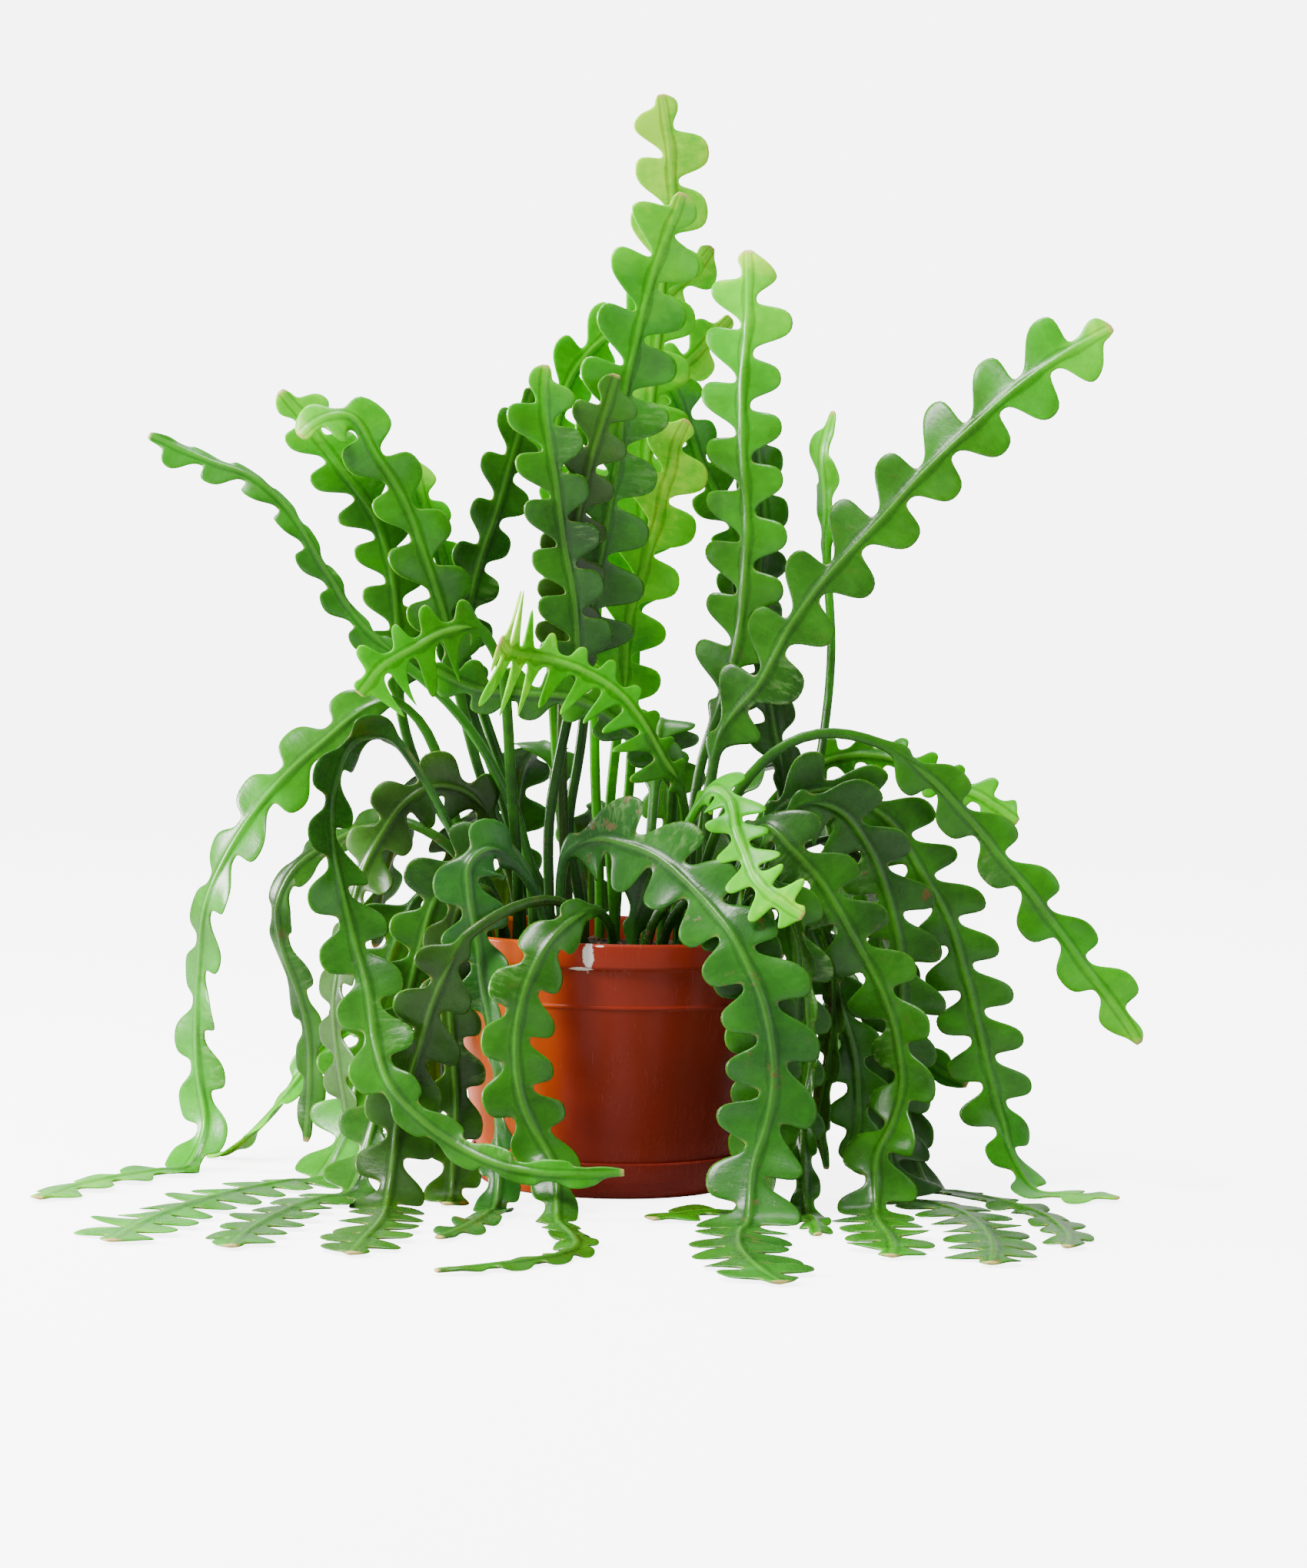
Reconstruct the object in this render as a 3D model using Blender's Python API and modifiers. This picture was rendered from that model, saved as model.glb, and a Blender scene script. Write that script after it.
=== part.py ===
# Potted fishbone cactus: flat lobed stems in a turned plastic pot with a drip saucer.
# Run with: blender --background --python part.py
import math

import bmesh
import bpy
import numpy as np
from mathutils import Matrix, Vector

MM = 0.001
COLLECTION = "potted_fishbone_cactus"

# Pot and saucer, in millimetres. The rim diameter sets the scale of the whole plant.
RIM_RADIUS = 87.0
POT_HEIGHT = 128.5
WALL = 1.7
RIM_BAND = 13.0
WALL_TOP_RADIUS = 84.4
WALL_FOOT_RADIUS = 68.7
WALL_FOOT_Z = 20.0
RIDGE_DROP = 32.0
SAUCER_HEIGHT = 18.7
SAUCER_FLOOR = 1.8
SAUCER_FOOT_RADIUS = 62.5
GAP = 0.3
TURN_STEPS = 48
DRAIN_HOLES = 6
DRAIN_RADIUS = 4.0
DRAIN_CIRCLE = 40.0

# Soil
SOIL_EDGE_Z = 113.0
SOIL_CROWN = 8.0
POCKET_DEPTH = 9.0
POCKET_MARGIN = 0.6
CLEAR_RISE = 2.5  # the stalk stands upright until it is this far above the soil

# Stems
STALK_HALF_WIDTH = 2.6
STALK_HALF_DEPTH = 2.2
RIB_HALF_DEPTH = 2.0
TIP_HALF_DEPTH = 1.2
SINUS_HALF_WIDTH = 4.0
TIP_HALF_WIDTH = 2.2
LOBE_LEAN = 0.22
LOBE_BULGE = 0.045
LOBE_PHASES = (-50.0, 50.0, 130.0, 230.0)
FLOOR_REST = 2.3
FLOOR_BLEND_Z = 38.0

# The eye that the stems were read from: routes are millimetres across and up on the
# upright plane through the pot's axis, as seen from here, and a depth behind that plane.
EYE = Vector((18.3, -2000.0, 300.0))

# Each stem: where it leaves the soil, how far its lobes reach from the rib, how far apart
# the lobes of one side are, how much bare stalk it has, and its route from stalk to tip.
# A route point is (across, up, depth). A floor point is (x, y) where the stem lies down.
# A turn is (share of the length, degrees that the blade is turned about its rib), and a
# width is (share of the length, factor on the reach).
STEMS = {
    "upright_01": dict(
        base=(0, 28), reach=21, pitch=25, stalk=175,
        route=[(6, 200, 30), (8, 300, 34), (10, 350, 36), (13, 405, 37), (16, 441, 38),
               (17, 468, 38), (21, 500, 38), (20, 512, 38), (18, 530, 38), (14, 551, 38)]),
    "upright_02": dict(
        base=(-16, 0), reach=24, pitch=25, stalk=150,
        route=[(-25, 181, 0), (-20, 214, 0), (-17, 245, 0), (-17, 276, 0), (-14, 302, 0),
               (-11, 320, 0), (-8, 340, 0), (-3, 372, 0), (-1, 399, 0), (4, 425, 0),
               (10, 453, 0), (17, 476, 0), (22, 489, 0), (26, 502, 0)]),
    "upright_03": dict(
        base=(0, 10), reach=22, pitch=25, stalk=125,
        route=[(-4, 180, 15), (-1, 225, 17), (2, 253, 17), (3, 283, 17), (10, 311, 17),
               (18, 341, 17), (22, 359, 17), (28, 382, 17), (31, 388, 17)]),
    "upright_04": dict(
        base=(-24, -14), reach=17, pitch=22, stalk=140,
        route=[(-28, 200, -14), (-29, 240, -14), (-26, 295, -14), (-25, 325, -14),
               (-20, 355, -14), (-12, 385, -14), (-5, 410, -14)]),
    "upright_05": dict(
        base=(-32, -28), reach=18, pitch=24, stalk=130,
        route=[(-34, 190, -29), (-29, 220, -29), (-22, 262, -29), (-24, 295, -29),
               (-30, 325, -29), (-35, 357, -29), (-39, 378, -29), (-42, 401, -29),
               (-41, 414, -29)]),
    "upright_06": dict(
        base=(-48, 28), reach=15, pitch=24, stalk=135,
        route=[(-60, 200, 26), (-74, 235, 25), (-80, 262, 24), (-78, 287, 24),
               (-71, 319, 24), (-66, 334, 24), (-61, 352, 24), (-55, 375, 24),
               (-47, 402, 24)]),
    "upright_07": dict(
        base=(40, 14), reach=21, pitch=24, stalk=125,
        route=[(38, 180, 13), (43, 219, 12), (53, 248, 12), (61, 287, 12), (62, 303, 12),
               (63, 338, 12), (60, 373, 12), (59, 404, 12), (61, 443, 12), (60, 474, 12)]),
    "upright_08": dict(
        base=(64, 28), reach=14, pitch=26, stalk=95, turns=[(0, 70), (1, 70)],
        route=[(79, 165, 30), (84, 201, 32), (78, 235, 32), (70, 275, 32), (69, 315, 32),
               (71, 337, 32), (68, 365, 32), (65, 392, 32)]),
    "upright_09": dict(
        base=(-24, 42), reach=18, pitch=24, stalk=235,
        route=[(-30, 200, 46), (-36, 280, 54), (-38, 340, 58), (-35, 385, 60),
               (-28, 409, 60), (-12, 428, 60), (0, 436, 60), (15, 448, 60), (32, 462, 60),
               (42, 475, 60)]),
    "upright_10": dict(
        base=(40, 42), reach=16, pitch=24, stalk=170,
        route=[(46, 200, 44), (55, 250, 48), (61, 290, 50), (57, 335, 51), (47, 350, 51),
               (38, 367, 51), (30, 389, 51), (17, 415, 51)]),
    "upright_11": dict(
        base=(-8, 42), reach=15, pitch=24, stalk=220,
        route=[(-12, 220, 50), (-12, 300, 66), (-9, 340, 73), (5, 390, 76), (19, 408, 76),
               (31, 418, 76), (52, 440, 76)]),
    "left_01": dict(
        base=(-40, -14), reach=13, pitch=23, stalk=170,
        route=[(-46, 170, -16), (-58, 200, -19), (-76, 230, -21), (-95, 250, -22),
               (-112, 263, -22), (-130, 278, -22), (-151, 307, -22), (-170, 337, -22),
               (-190, 354, -22), (-210, 361, -22), (-241, 374, -22)]),
    "left_02": dict(
        base=(-56, 14), reach=16, pitch=24, stalk=150,
        route=[(-64, 150, 18), (-82, 175, 23), (-98, 200, 25), (-110, 232, 25),
               (-113, 275, 25), (-118, 312, 25), (-128, 339, 25), (-138, 352, 25),
               (-150, 367, 25), (-163, 384, 25), (-175, 398, 25)]),
    "left_03": dict(
        base=(-40, 12), reach=18, pitch=30, stalk=150,
        route=[(-50, 160, 10), (-66, 195, 8), (-75, 222, 8), (-82, 250, 8), (-89, 283, 8),
               (-100, 315, 8), (-112, 345, 8), (-126, 366, 7), (-141, 386, 2),
               (-157, 382, -6), (-165, 375, -10)]),
    "left_04": dict(
        base=(-40, 42), reach=13, pitch=22, stalk=180,
        route=[(-52, 190, 43), (-70, 240, 43), (-84, 285, 43), (-93, 320, 43),
               (-102, 345, 43), (-108, 366, 43)]),
    "left_05": dict(
        base=(-48, -28), reach=27, pitch=16, stalk=175,
        route=[(-50, 160, -36), (-54, 200, -45), (-57, 240, -52), (-61, 266, -55),
               (-73, 280, -57), (-89, 278, -60), (-105, 269, -63), (-120, 260, -66),
               (-132, 245, -67)]),
    "middle_01": dict(
        base=(32, -28), reach=23, pitch=15, stalk=95,
        widths=[(0, 0.8), (0.7, 1), (1, 1.25)],
        route=[(36, 175, -36), (32, 201, -46), (23, 215, -53), (9, 238, -58), (0, 248, -60),
               (-20, 260, -63), (-41, 266, -69), (-52, 267, -78), (-59, 269, -90),
               (-58, 275, -102), (-53, 284, -112)]),
    "middle_02": dict(
        base=(24, -14), reach=13, pitch=22, stalk=95,
        route=[(28, 185, -28), (27, 208, -38), (13, 224, -42), (-3, 236, -44),
               (-20, 245, -44), (-45, 247, -44), (-74, 250, -44), (-97, 260, -44)]),
    "right_01": dict(
        base=(48, 0), reach=22, pitch=33, stalk=105,
        route=[(46, 180, -2), (48, 211, -4), (54, 233, -4), (70, 253, -4), (87, 286, -4),
               (105, 311, -4), (130, 339, -4), (150, 362, -4), (174, 386, -4),
               (198, 408, -4), (221, 425, -4), (245, 439, -4)]),
    "right_02": dict(
        base=(56, 14), reach=12, pitch=28, stalk=225, turns=[(0, 72), (1, 72)],
        route=[(74, 150, 18), (92, 176, 23), (101, 209, 25), (105, 238, 25), (107, 278, 25),
               (104, 310, 25), (102, 354, 25), (100, 371, 25), (105, 394, 25)]),
    "right_03": dict(
        base=(40, -14), reach=16, pitch=31, stalk=165,
        route=[(46, 165, -18), (55, 190, -21), (68, 210, -23), (84, 225, -24),
               (107, 232, -24), (131, 227, -24), (155, 212, -24), (174, 194, -24),
               (195, 170, -24), (215, 147, -24), (232, 125, -24), (247, 106, -24),
               (260, 90, -24), (269, 76, -24)]),
    "right_04": dict(
        base=(56, 42), reach=11, pitch=17, stalk=110,
        route=[(66, 170, 44), (80, 198, 44), (100, 214, 42), (120, 220, 36), (142, 218, 28),
               (165, 208, 18), (185, 200, 10), (204, 188, 2)]),
    "right_05": dict(
        base=(56, -14), reach=20, pitch=24, stalk=80,
        route=[(64, 160, -13), (78, 187, -11), (94, 199, -9), (109, 202, -8), (124, 197, -8),
               (141, 184, -8), (154, 163, -8), (168, 141, -8), (179, 110, -8),
               (188, 77, -8), (195, 51, -8), (200, 34, -9), (204, 20, -12)],
        floor=[(216, -22), (234, -29), (257, -35)]),
    "right_06": dict(
        base=(56, -40), reach=16, pitch=24, stalk=75,
        route=[(64, 140, -42), (76, 153, -42), (88, 149, -41), (97, 134, -41),
               (105, 116, -41), (115, 93, -41), (123, 69, -41), (126, 45, -41),
               (126, 29, -41), (122, 12, -41)]),
    "right_07": dict(
        base=(64, -26), reach=21, pitch=25, stalk=90,
        route=[(71, 160, -27), (82, 183, -28), (96, 195, -28), (112, 192, -26),
               (126, 177, -24), (139, 148, -23), (145, 125, -23), (147, 95, -23),
               (146, 65, -23), (143, 42, -24), (142, 22, -27)],
        floor=[(147, -46), (160, -70), (172, -96), (178, -130), (180, -165), (179, -205),
               (175, -240)]),
    "right_08": dict(
        base=(16, -28), reach=15, pitch=15, stalk=95,
        route=[(28, 162, -45), (40, 190, -56), (49, 201, -64), (57, 196, -73),
               (61, 181, -82), (67, 166, -91), (72, 155, -99), (82, 146, -106),
               (96, 137, -112)]),
    "right_09": dict(
        base=(48, -28), reach=20, pitch=27, stalk=72,
        turns=[(0, 0), (0.38, 0), (0.5, 40), (0.6, 40), (1, 0)],
        route=[(55, 155, -36), (64, 175, -45), (76, 183, -53), (89, 172, -60),
               (106, 153, -65), (123, 125, -69), (139, 97, -72), (147, 71, -74),
               (149, 50, -76), (145, 33, -78), (138, 18, -81)],
        floor=[(131, -96), (130, -118), (131, -145), (133, -175), (133, -205),
               (131, -226)]),
    "right_10": dict(
        base=(-24, -42), reach=23, pitch=28, stalk=58,
        route=[(-29, 146, -44), (-25, 166, -49), (-11, 174, -56), (5, 172, -64),
               (21, 166, -73), (36, 154, -83), (49, 141, -92), (59, 129, -100),
               (68, 113, -106), (76, 95, -110), (81, 75, -112), (83, 51, -114),
               (80, 30, -116), (74, 10, -121)],
        floor=[(68, -138), (64, -165), (62, -200), (64, -235), (70, -270), (78, -302)]),
    "right_11": dict(
        base=(16, -56), reach=19, pitch=28, stalk=75,
        route=[(22, 140, -62), (32, 149, -70), (44, 147, -80), (56, 136, -89),
               (66, 119, -95), (73, 93, -97), (78, 61, -98), (80, 34, -98),
               (78, 17, -100)],
        floor=[(66, -108), (50, -110), (34, -120), (22, -136)]),
    "right_12": dict(
        base=(64, 0), reach=12, pitch=27, stalk=90,
        turns=[(0, 0), (0.2, 55), (0.45, 55), (0.6, 0)],
        route=[(74, 150, 2), (90, 172, 6), (108, 177, 10), (124, 166, 11), (136, 145, 11),
               (144, 120, 11), (149, 90, 10), (151, 60, 8), (152, 38, 4), (154, 22, 0)],
        floor=[(162, -15), (177, -34), (194, -56), (206, -81), (214, -108), (217, -138),
               (218, -166), (214, -190)]),
    "right_13": dict(
        base=(32, -56), reach=8, pitch=22, stalk=80,
        turns=[(0, 0), (0.3, 65), (0.6, 65), (0.75, 0)],
        route=[(44, 140, -61), (60, 153, -70), (76, 154, -78), (89, 141, -83),
               (97, 118, -85), (100, 90, -85), (102, 62, -85), (99, 40, -85), (99, 20, -88)],
        floor=[(97, -104), (99, -125), (100, -150), (100, -170)]),
    "right_14": dict(
        base=(40, -42), reach=9, pitch=25, stalk=80, turns=[(0, 0), (0.35, 55), (1, 55)],
        route=[(52, 146, -47), (68, 158, -52), (84, 157, -55), (99, 144, -56),
               (110, 122, -56), (113, 95, -56), (111, 62, -56), (107, 34, -56),
               (111, 8, -56)]),
    "right_15": dict(
        base=(24, -42), reach=17, pitch=26, stalk=80,
        route=[(38, 146, -52), (56, 158, -62), (73, 156, -68), (86, 144, -70),
               (92, 124, -70), (93, 98, -70), (92, 63, -70), (91, 30, -70), (89, 10, -70)]),
    "right_16": dict(
        base=(48, 28), reach=10, pitch=26, stalk=110,
        route=[(60, 160, 36), (78, 178, 43), (98, 180, 42), (116, 168, 39), (130, 145, 36),
               (139, 115, 33), (148, 80, 30), (161, 64, 27), (182, 53, 22)]),
    "trail_left_01": dict(
        base=(-64, 0), reach=16, pitch=33, stalk=150,
        turns=[(0, 0), (0.4, 20), (0.5, 50), (0.62, 50), (0.74, 0)],
        route=[(-72, 150, -2), (-84, 190, -4), (-96, 225, -6), (-110, 243, -8),
               (-126, 239, -9), (-150, 220, -9), (-170, 201, -9), (-185, 182, -9),
               (-198, 160, -7), (-207, 138, -2), (-210, 106, 6), (-211, 80, 11),
               (-210, 52, 13), (-206, 22, 10)],
        floor=[(-214, -2), (-228, -20), (-244, -42), (-257, -66), (-267, -92),
               (-273, -115)]),
    "trail_left_02": dict(
        base=(-56, -14), reach=10, pitch=30, stalk=95, turns=[(0, 0), (0.4, 40), (1, 40)],
        route=[(-66, 145, -14), (-82, 167, -12), (-102, 180, -9), (-122, 179, -4),
               (-144, 169, 2), (-163, 155, 7), (-171, 137, 10), (-168, 116, 11),
               (-159, 92, 11), (-154, 73, 11), (-153, 45, 11), (-155, 16, 11)]),
    "trail_left_03": dict(
        base=(-64, -28), reach=19, pitch=30, stalk=125,
        widths=[(0, 1), (0.66, 1), (0.78, 0.45), (1, 0.35)],
        route=[(-74, 152, -34), (-86, 182, -42), (-102, 208, -49), (-118, 225, -54),
               (-134, 222, -58), (-144, 200, -62), (-145, 170, -66), (-139, 143, -72),
               (-131, 115, -81), (-124, 92, -91), (-120, 68, -99), (-112, 46, -107),
               (-96, 29, -114), (-77, 16, -120), (-56, 7, -128), (-34, 3, -134),
               (-12, 3, -136), (8, 4, -136)]),
    "trail_left_04": dict(
        base=(-64, 28), reach=9, pitch=26, stalk=75, turns=[(0, 0), (0.4, 30), (0.9, 0)],
        route=[(-71, 142, 31), (-84, 143, 35), (-96, 127, 38), (-105, 108, 40),
               (-116, 92, 41), (-129, 80, 42), (-148, 65, 42), (-160, 47, 42), (-174, 29, 42),
               (-188, 15, 43)],
        floor=[(-201, 48), (-214, 51), (-224, 53)]),
    "trail_left_05": dict(
        base=(-48, 0), reach=17, pitch=24, stalk=75, turns=[(0, 0), (0.5, 0), (0.65, 55), (1, 55)],
        route=[(-54, 160, -6), (-64, 184, -14), (-78, 197, -22), (-94, 199, -29),
               (-108, 190, -34), (-119, 174, -37), (-129, 152, -38), (-135, 125, -38),
               (-141, 92, -38), (-139, 62, -38), (-133, 26, -38)]),
    "trail_left_06": dict(
        base=(-56, 42), reach=23, pitch=26, stalk=85,
        route=[(-66, 145, 39), (-82, 155, 33), (-98, 145, 24), (-110, 122, 15),
               (-118, 95, 7), (-124, 70, 0), (-129, 45, -6), (-135, 20, -14)],
        floor=[(-145, -27), (-160, -47), (-176, -73), (-190, -102), (-201, -132),
               (-210, -165), (-217, -200), (-222, -232)]),
    "trail_left_07": dict(
        base=(-40, -42), reach=19, pitch=25, stalk=72,
        route=[(-42, 148, -45), (-49, 168, -49), (-62, 171, -52), (-76, 162, -54),
               (-90, 144, -55), (-98, 118, -56), (-104, 92, -56), (-112, 60, -56),
               (-118, 36, -57), (-121, 22, -60)],
        floor=[(-126, -76), (-137, -96), (-147, -122), (-155, -152), (-161, -185),
               (-165, -215), (-167, -240)]),
    "trail_left_08": dict(
        base=(-16, -56), reach=19, pitch=26, stalk=62,
        route=[(-15, 132, -60), (-19, 140, -66), (-31, 144, -75), (-44, 142, -84),
               (-58, 136, -92), (-72, 127, -96), (-82, 111, -97), (-91, 90, -95),
               (-97, 68, -91), (-103, 46, -88), (-108, 28, -86), (-109, 16, -88)],
        floor=[(-106, -104), (-105, -128), (-105, -160), (-107, -195), (-110, -228),
               (-112, -252)]),
    "trail_left_09": dict(
        base=(0, -58), reach=18, pitch=25, stalk=45,
        widths=[(0, 1), (0.4, 1), (0.55, 0.6), (1, 0.5)],
        route=[(-2, 133, -67), (-10, 138, -79), (-21, 133, -91), (-33, 121, -100),
               (-42, 104, -105), (-48, 80, -106), (-48, 55, -107), (-43, 34, -109),
               (-33, 16, -113), (-28, 6, -118)],
        floor=[(-23, -136), (-20, -165), (-15, -190), (-12, -215), (-16, -240),
               (-32, -262), (-55, -280), (-72, -292)]),
    "trail_left_10": dict(
        base=(-32, -56), reach=18, pitch=27, stalk=62,
        widths=[(0, 1), (0.36, 1), (0.46, 0.6), (1, 0.55)],
        turns=[(0, 0), (0.38, 0), (0.5, 70), (0.62, 70), (0.74, 0)],
        route=[(-38, 142, -62), (-50, 160, -69), (-64, 168, -77), (-74, 161, -83),
               (-74, 145, -86), (-70, 125, -86), (-66, 100, -86), (-61, 75, -86),
               (-58, 50, -86), (-57, 28, -87), (-56, 13, -91)],
        floor=[(-53, -108), (-56, -132), (-61, -158), (-68, -182), (-76, -204)]),
    "trail_left_11": dict(
        base=(-56, -42), reach=14, pitch=25, stalk=50,
        route=[(-58, 139, -52), (-67, 147, -62), (-77, 140, -70), (-83, 120, -74),
               (-83, 95, -74), (-80, 60, -73), (-78, 32, -72), (-79, 15, -73)],
        floor=[(-76, -87), (-77, -104)]),
    "front_01": dict(
        base=(10, -44), reach=15, pitch=30, stalk=14,
        route=[(12, 140, -46), (16, 153, -47), (20, 166, -47)]),
}

# Stems behind the pot, out of the photograph's sight. Each leaves the soil, rises over
# the rim along its bearing, hangs down behind the pot and, if it is long, lies outward.
BACK_STEMS = {
    "back_01": dict(base=(32, 56), bearing=38, top=215, out=150, end=45, lie=0),
    "back_02": dict(base=(24, 42), bearing=58, top=182, out=128, end=20, lie=80),
    "back_03": dict(base=(16, 56), bearing=78, top=236, out=142, end=62, lie=0),
    "back_04": dict(base=(0, 56), bearing=97, top=190, out=122, end=20, lie=115),
    "back_05": dict(base=(-16, 56), bearing=114, top=222, out=145, end=50, lie=0),
    "back_06": dict(base=(-32, 56), bearing=134, top=186, out=132, end=20, lie=70),
    "back_07": dict(base=(-48, 52), bearing=152, top=205, out=138, end=110, lie=0),
}
BACK_REACH = 18.0
BACK_PITCH = 26.0
BACK_STALK = 90.0

# Colours read from the photograph, as linear values.
LEAF_GREEN = (0.055, 0.205, 0.030, 1.0)
YOUNG_GREEN = (0.230, 0.480, 0.045, 1.0)
TERRACOTTA = (0.480, 0.075, 0.022, 1.0)
SOIL_BROWN = (0.022, 0.013, 0.008, 1.0)
YOUNG_STEMS = ("upright_01", "upright_03", "upright_09", "upright_11", "left_05",
               "middle_01", "right_04", "right_08", "trail_left_04")


def remove_scene_objects():
    for item in list(bpy.data.objects):
        bpy.data.objects.remove(item, do_unlink=True)


def new_collection(name):
    group = bpy.data.collections.new(name)
    bpy.context.scene.collection.children.link(group)
    return group


def plain_material(name, colour, roughness):
    material = bpy.data.materials.new(name)
    material.use_nodes = True
    shader = material.node_tree.nodes["Principled BSDF"]
    shader.inputs["Base Color"].default_value = colour
    shader.inputs["Roughness"].default_value = roughness
    shader.inputs["Metallic"].default_value = 0.0
    return material


def add_object(name, mesh, group, material, location=(0.0, 0.0, 0.0)):
    item = bpy.data.objects.new(name, mesh)
    item.location = location
    group.objects.link(item)
    mesh.materials.append(material)
    return item


# Turned pieces

def turned_object(name, profile, group, material):
    """A closed profile of (radius, height) in millimetres, run round with a Screw modifier."""
    mesh = bpy.data.meshes.new(name)
    shape = bmesh.new()
    corners = [shape.verts.new((r * MM, 0.0, z * MM)) for r, z in profile]
    for start, end in zip(corners, corners[1:]):
        shape.edges.new((start, end))
    if profile[0][0] > 0.0:
        shape.edges.new((corners[-1], corners[0]))
    shape.to_mesh(mesh)
    shape.free()
    item = add_object(name, mesh, group, material)
    screw = item.modifiers.new("turn", "SCREW")
    screw.steps = TURN_STEPS
    screw.render_steps = TURN_STEPS
    screw.use_merge_vertices = True
    screw.merge_threshold = 0.00001
    screw.use_normal_calculate = True
    screw.use_smooth_shade = True
    return item


def wall_radius(z):
    """Outer radius of the pot's sloping wall."""
    share = (z - WALL_FOOT_Z) / (POT_HEIGHT - RIM_BAND - WALL_FOOT_Z)
    return WALL_FOOT_RADIUS + share * (WALL_TOP_RADIUS - WALL_FOOT_RADIUS)


def pot_profile():
    band_foot = POT_HEIGHT - RIM_BAND
    ridge = POT_HEIGHT - RIDGE_DROP
    floor_top = SAUCER_FLOOR + GAP + 3.0
    foot = SAUCER_FLOOR + GAP
    inner = RIM_RADIUS - 3.2
    return [
        (0.0, floor_top),
        (wall_radius(8.0) - WALL - 2.5, floor_top),
        (wall_radius(8.0) - WALL, 8.0),
        (wall_radius(WALL_FOOT_Z) - WALL, WALL_FOOT_Z),
        (wall_radius(ridge) - WALL, ridge),
        (wall_radius(band_foot) - WALL, band_foot),
        (inner, POT_HEIGHT - 2.0),
        (inner + 0.9, POT_HEIGHT),
        (RIM_RADIUS - 1.0, POT_HEIGHT),
        (RIM_RADIUS, POT_HEIGHT - 1.2),
        (RIM_RADIUS - 0.3, band_foot + 1.6),
        (RIM_RADIUS - 0.9, band_foot + 0.3),
        (WALL_TOP_RADIUS + 0.6, band_foot),
        (wall_radius(band_foot - 0.8), band_foot - 0.8),
        (wall_radius(ridge + 1.3), ridge + 1.3),
        (wall_radius(ridge) + 0.7, ridge + 0.6),
        (wall_radius(ridge) + 0.7, ridge - 0.4),
        (wall_radius(ridge - 1.1), ridge - 1.1),
        (wall_radius(WALL_FOOT_Z), WALL_FOOT_Z),
        (wall_radius(7.0), 7.0),
        (wall_radius(7.0) - 1.4, foot + 1.2),
        (wall_radius(7.0) - 4.0, foot),
        (wall_radius(7.0) - 7.0, foot),
        (wall_radius(7.0) - 7.6, foot + 1.2),
        (0.0, foot + 1.2),
    ]


def saucer_profile():
    lip = wall_radius(SAUCER_HEIGHT) + GAP
    return [
        (0.0, SAUCER_FLOOR),
        (wall_radius(7.0) - 2.0, SAUCER_FLOOR),
        (wall_radius(7.0) + 0.6, 4.2),
        (wall_radius(9.0) + 0.7, 9.0),
        (lip, SAUCER_HEIGHT - 0.3),
        (lip + 0.4, SAUCER_HEIGHT),
        (lip + 1.5, SAUCER_HEIGHT),
        (lip + 1.8, SAUCER_HEIGHT - 1.0),
        (wall_radius(9.0) + 2.0, 9.0),
        (SAUCER_FOOT_RADIUS + 4.6, 4.0),
        (SAUCER_FOOT_RADIUS + 2.8, 1.2),
        (SAUCER_FOOT_RADIUS, 0.0),
        (0.0, 0.0),
    ]


def soil_top(radius):
    """Height of the mounded soil at a distance from the pot's axis."""
    edge = wall_radius(SOIL_EDGE_Z) - WALL - GAP
    return SOIL_EDGE_Z + SOIL_CROWN * (1.0 - (radius / edge) ** 2)


def soil_profile():
    edge = wall_radius(SOIL_EDGE_Z) - WALL - GAP
    ridge = POT_HEIGHT - RIDGE_DROP
    bottom = SAUCER_FLOOR + GAP + 3.0 + GAP
    mound = [(edge * share, soil_top(edge * share)) for share in (0.0, 0.35, 0.65, 0.85, 1.0)]
    return mound + [
        (wall_radius(ridge) - WALL - GAP, ridge),
        (wall_radius(WALL_FOOT_Z) - WALL - GAP, WALL_FOOT_Z),
        (wall_radius(8.0) - WALL - GAP, 8.0 + GAP),
        (wall_radius(8.0) - WALL - 3.0, bottom),
        (0.0, bottom),
    ]


def drain_cutter(group):
    """Upright pins round the pot's floor, as one cutter."""
    mesh = bpy.data.meshes.new("drain_cutter")
    shape = bmesh.new()
    for index in range(DRAIN_HOLES):
        angle = 2.0 * math.pi * (index + 0.5) / DRAIN_HOLES
        place = Matrix.Translation((DRAIN_CIRCLE * MM * math.cos(angle),
                                    DRAIN_CIRCLE * MM * math.sin(angle), 4.0 * MM))
        bmesh.ops.create_cone(shape, cap_ends=True, segments=16, radius1=DRAIN_RADIUS * MM,
                              radius2=DRAIN_RADIUS * MM, depth=12.0 * MM, matrix=place)
    shape.to_mesh(mesh)
    shape.free()
    item = bpy.data.objects.new("drain_cutter", mesh)
    group.objects.link(item)
    return item


def cut_with(item, cutter):
    cutter.hide_render = True
    cutter.display_type = "WIRE"
    cut = item.modifiers.new("cut", "BOOLEAN")
    cut.operation = "DIFFERENCE"
    cut.solver = "EXACT"
    cut.object = cutter


# Stems

def seen_point(across, up, depth):
    """The place at a depth behind the axis plane that is seen at (across, up) on it."""
    spread = (depth - EYE.y) / -EYE.y
    return Vector((EYE.x + (across - EYE.x) * spread, depth, EYE.z + (up - EYE.z) * spread))


def stem_points(base, route, floor):
    """The stem's own points in millimetres, from its foot in the soil to its tip."""
    x, y = base
    ground = soil_top(math.hypot(x, y))
    points = [Vector((x, y, ground + rise)) for rise in (-POCKET_DEPTH, CLEAR_RISE, 10.0)]
    points += [seen_point(*place) for place in route]
    points += [Vector((px, py, FLOOR_REST)) for px, py in floor]
    return points


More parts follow.
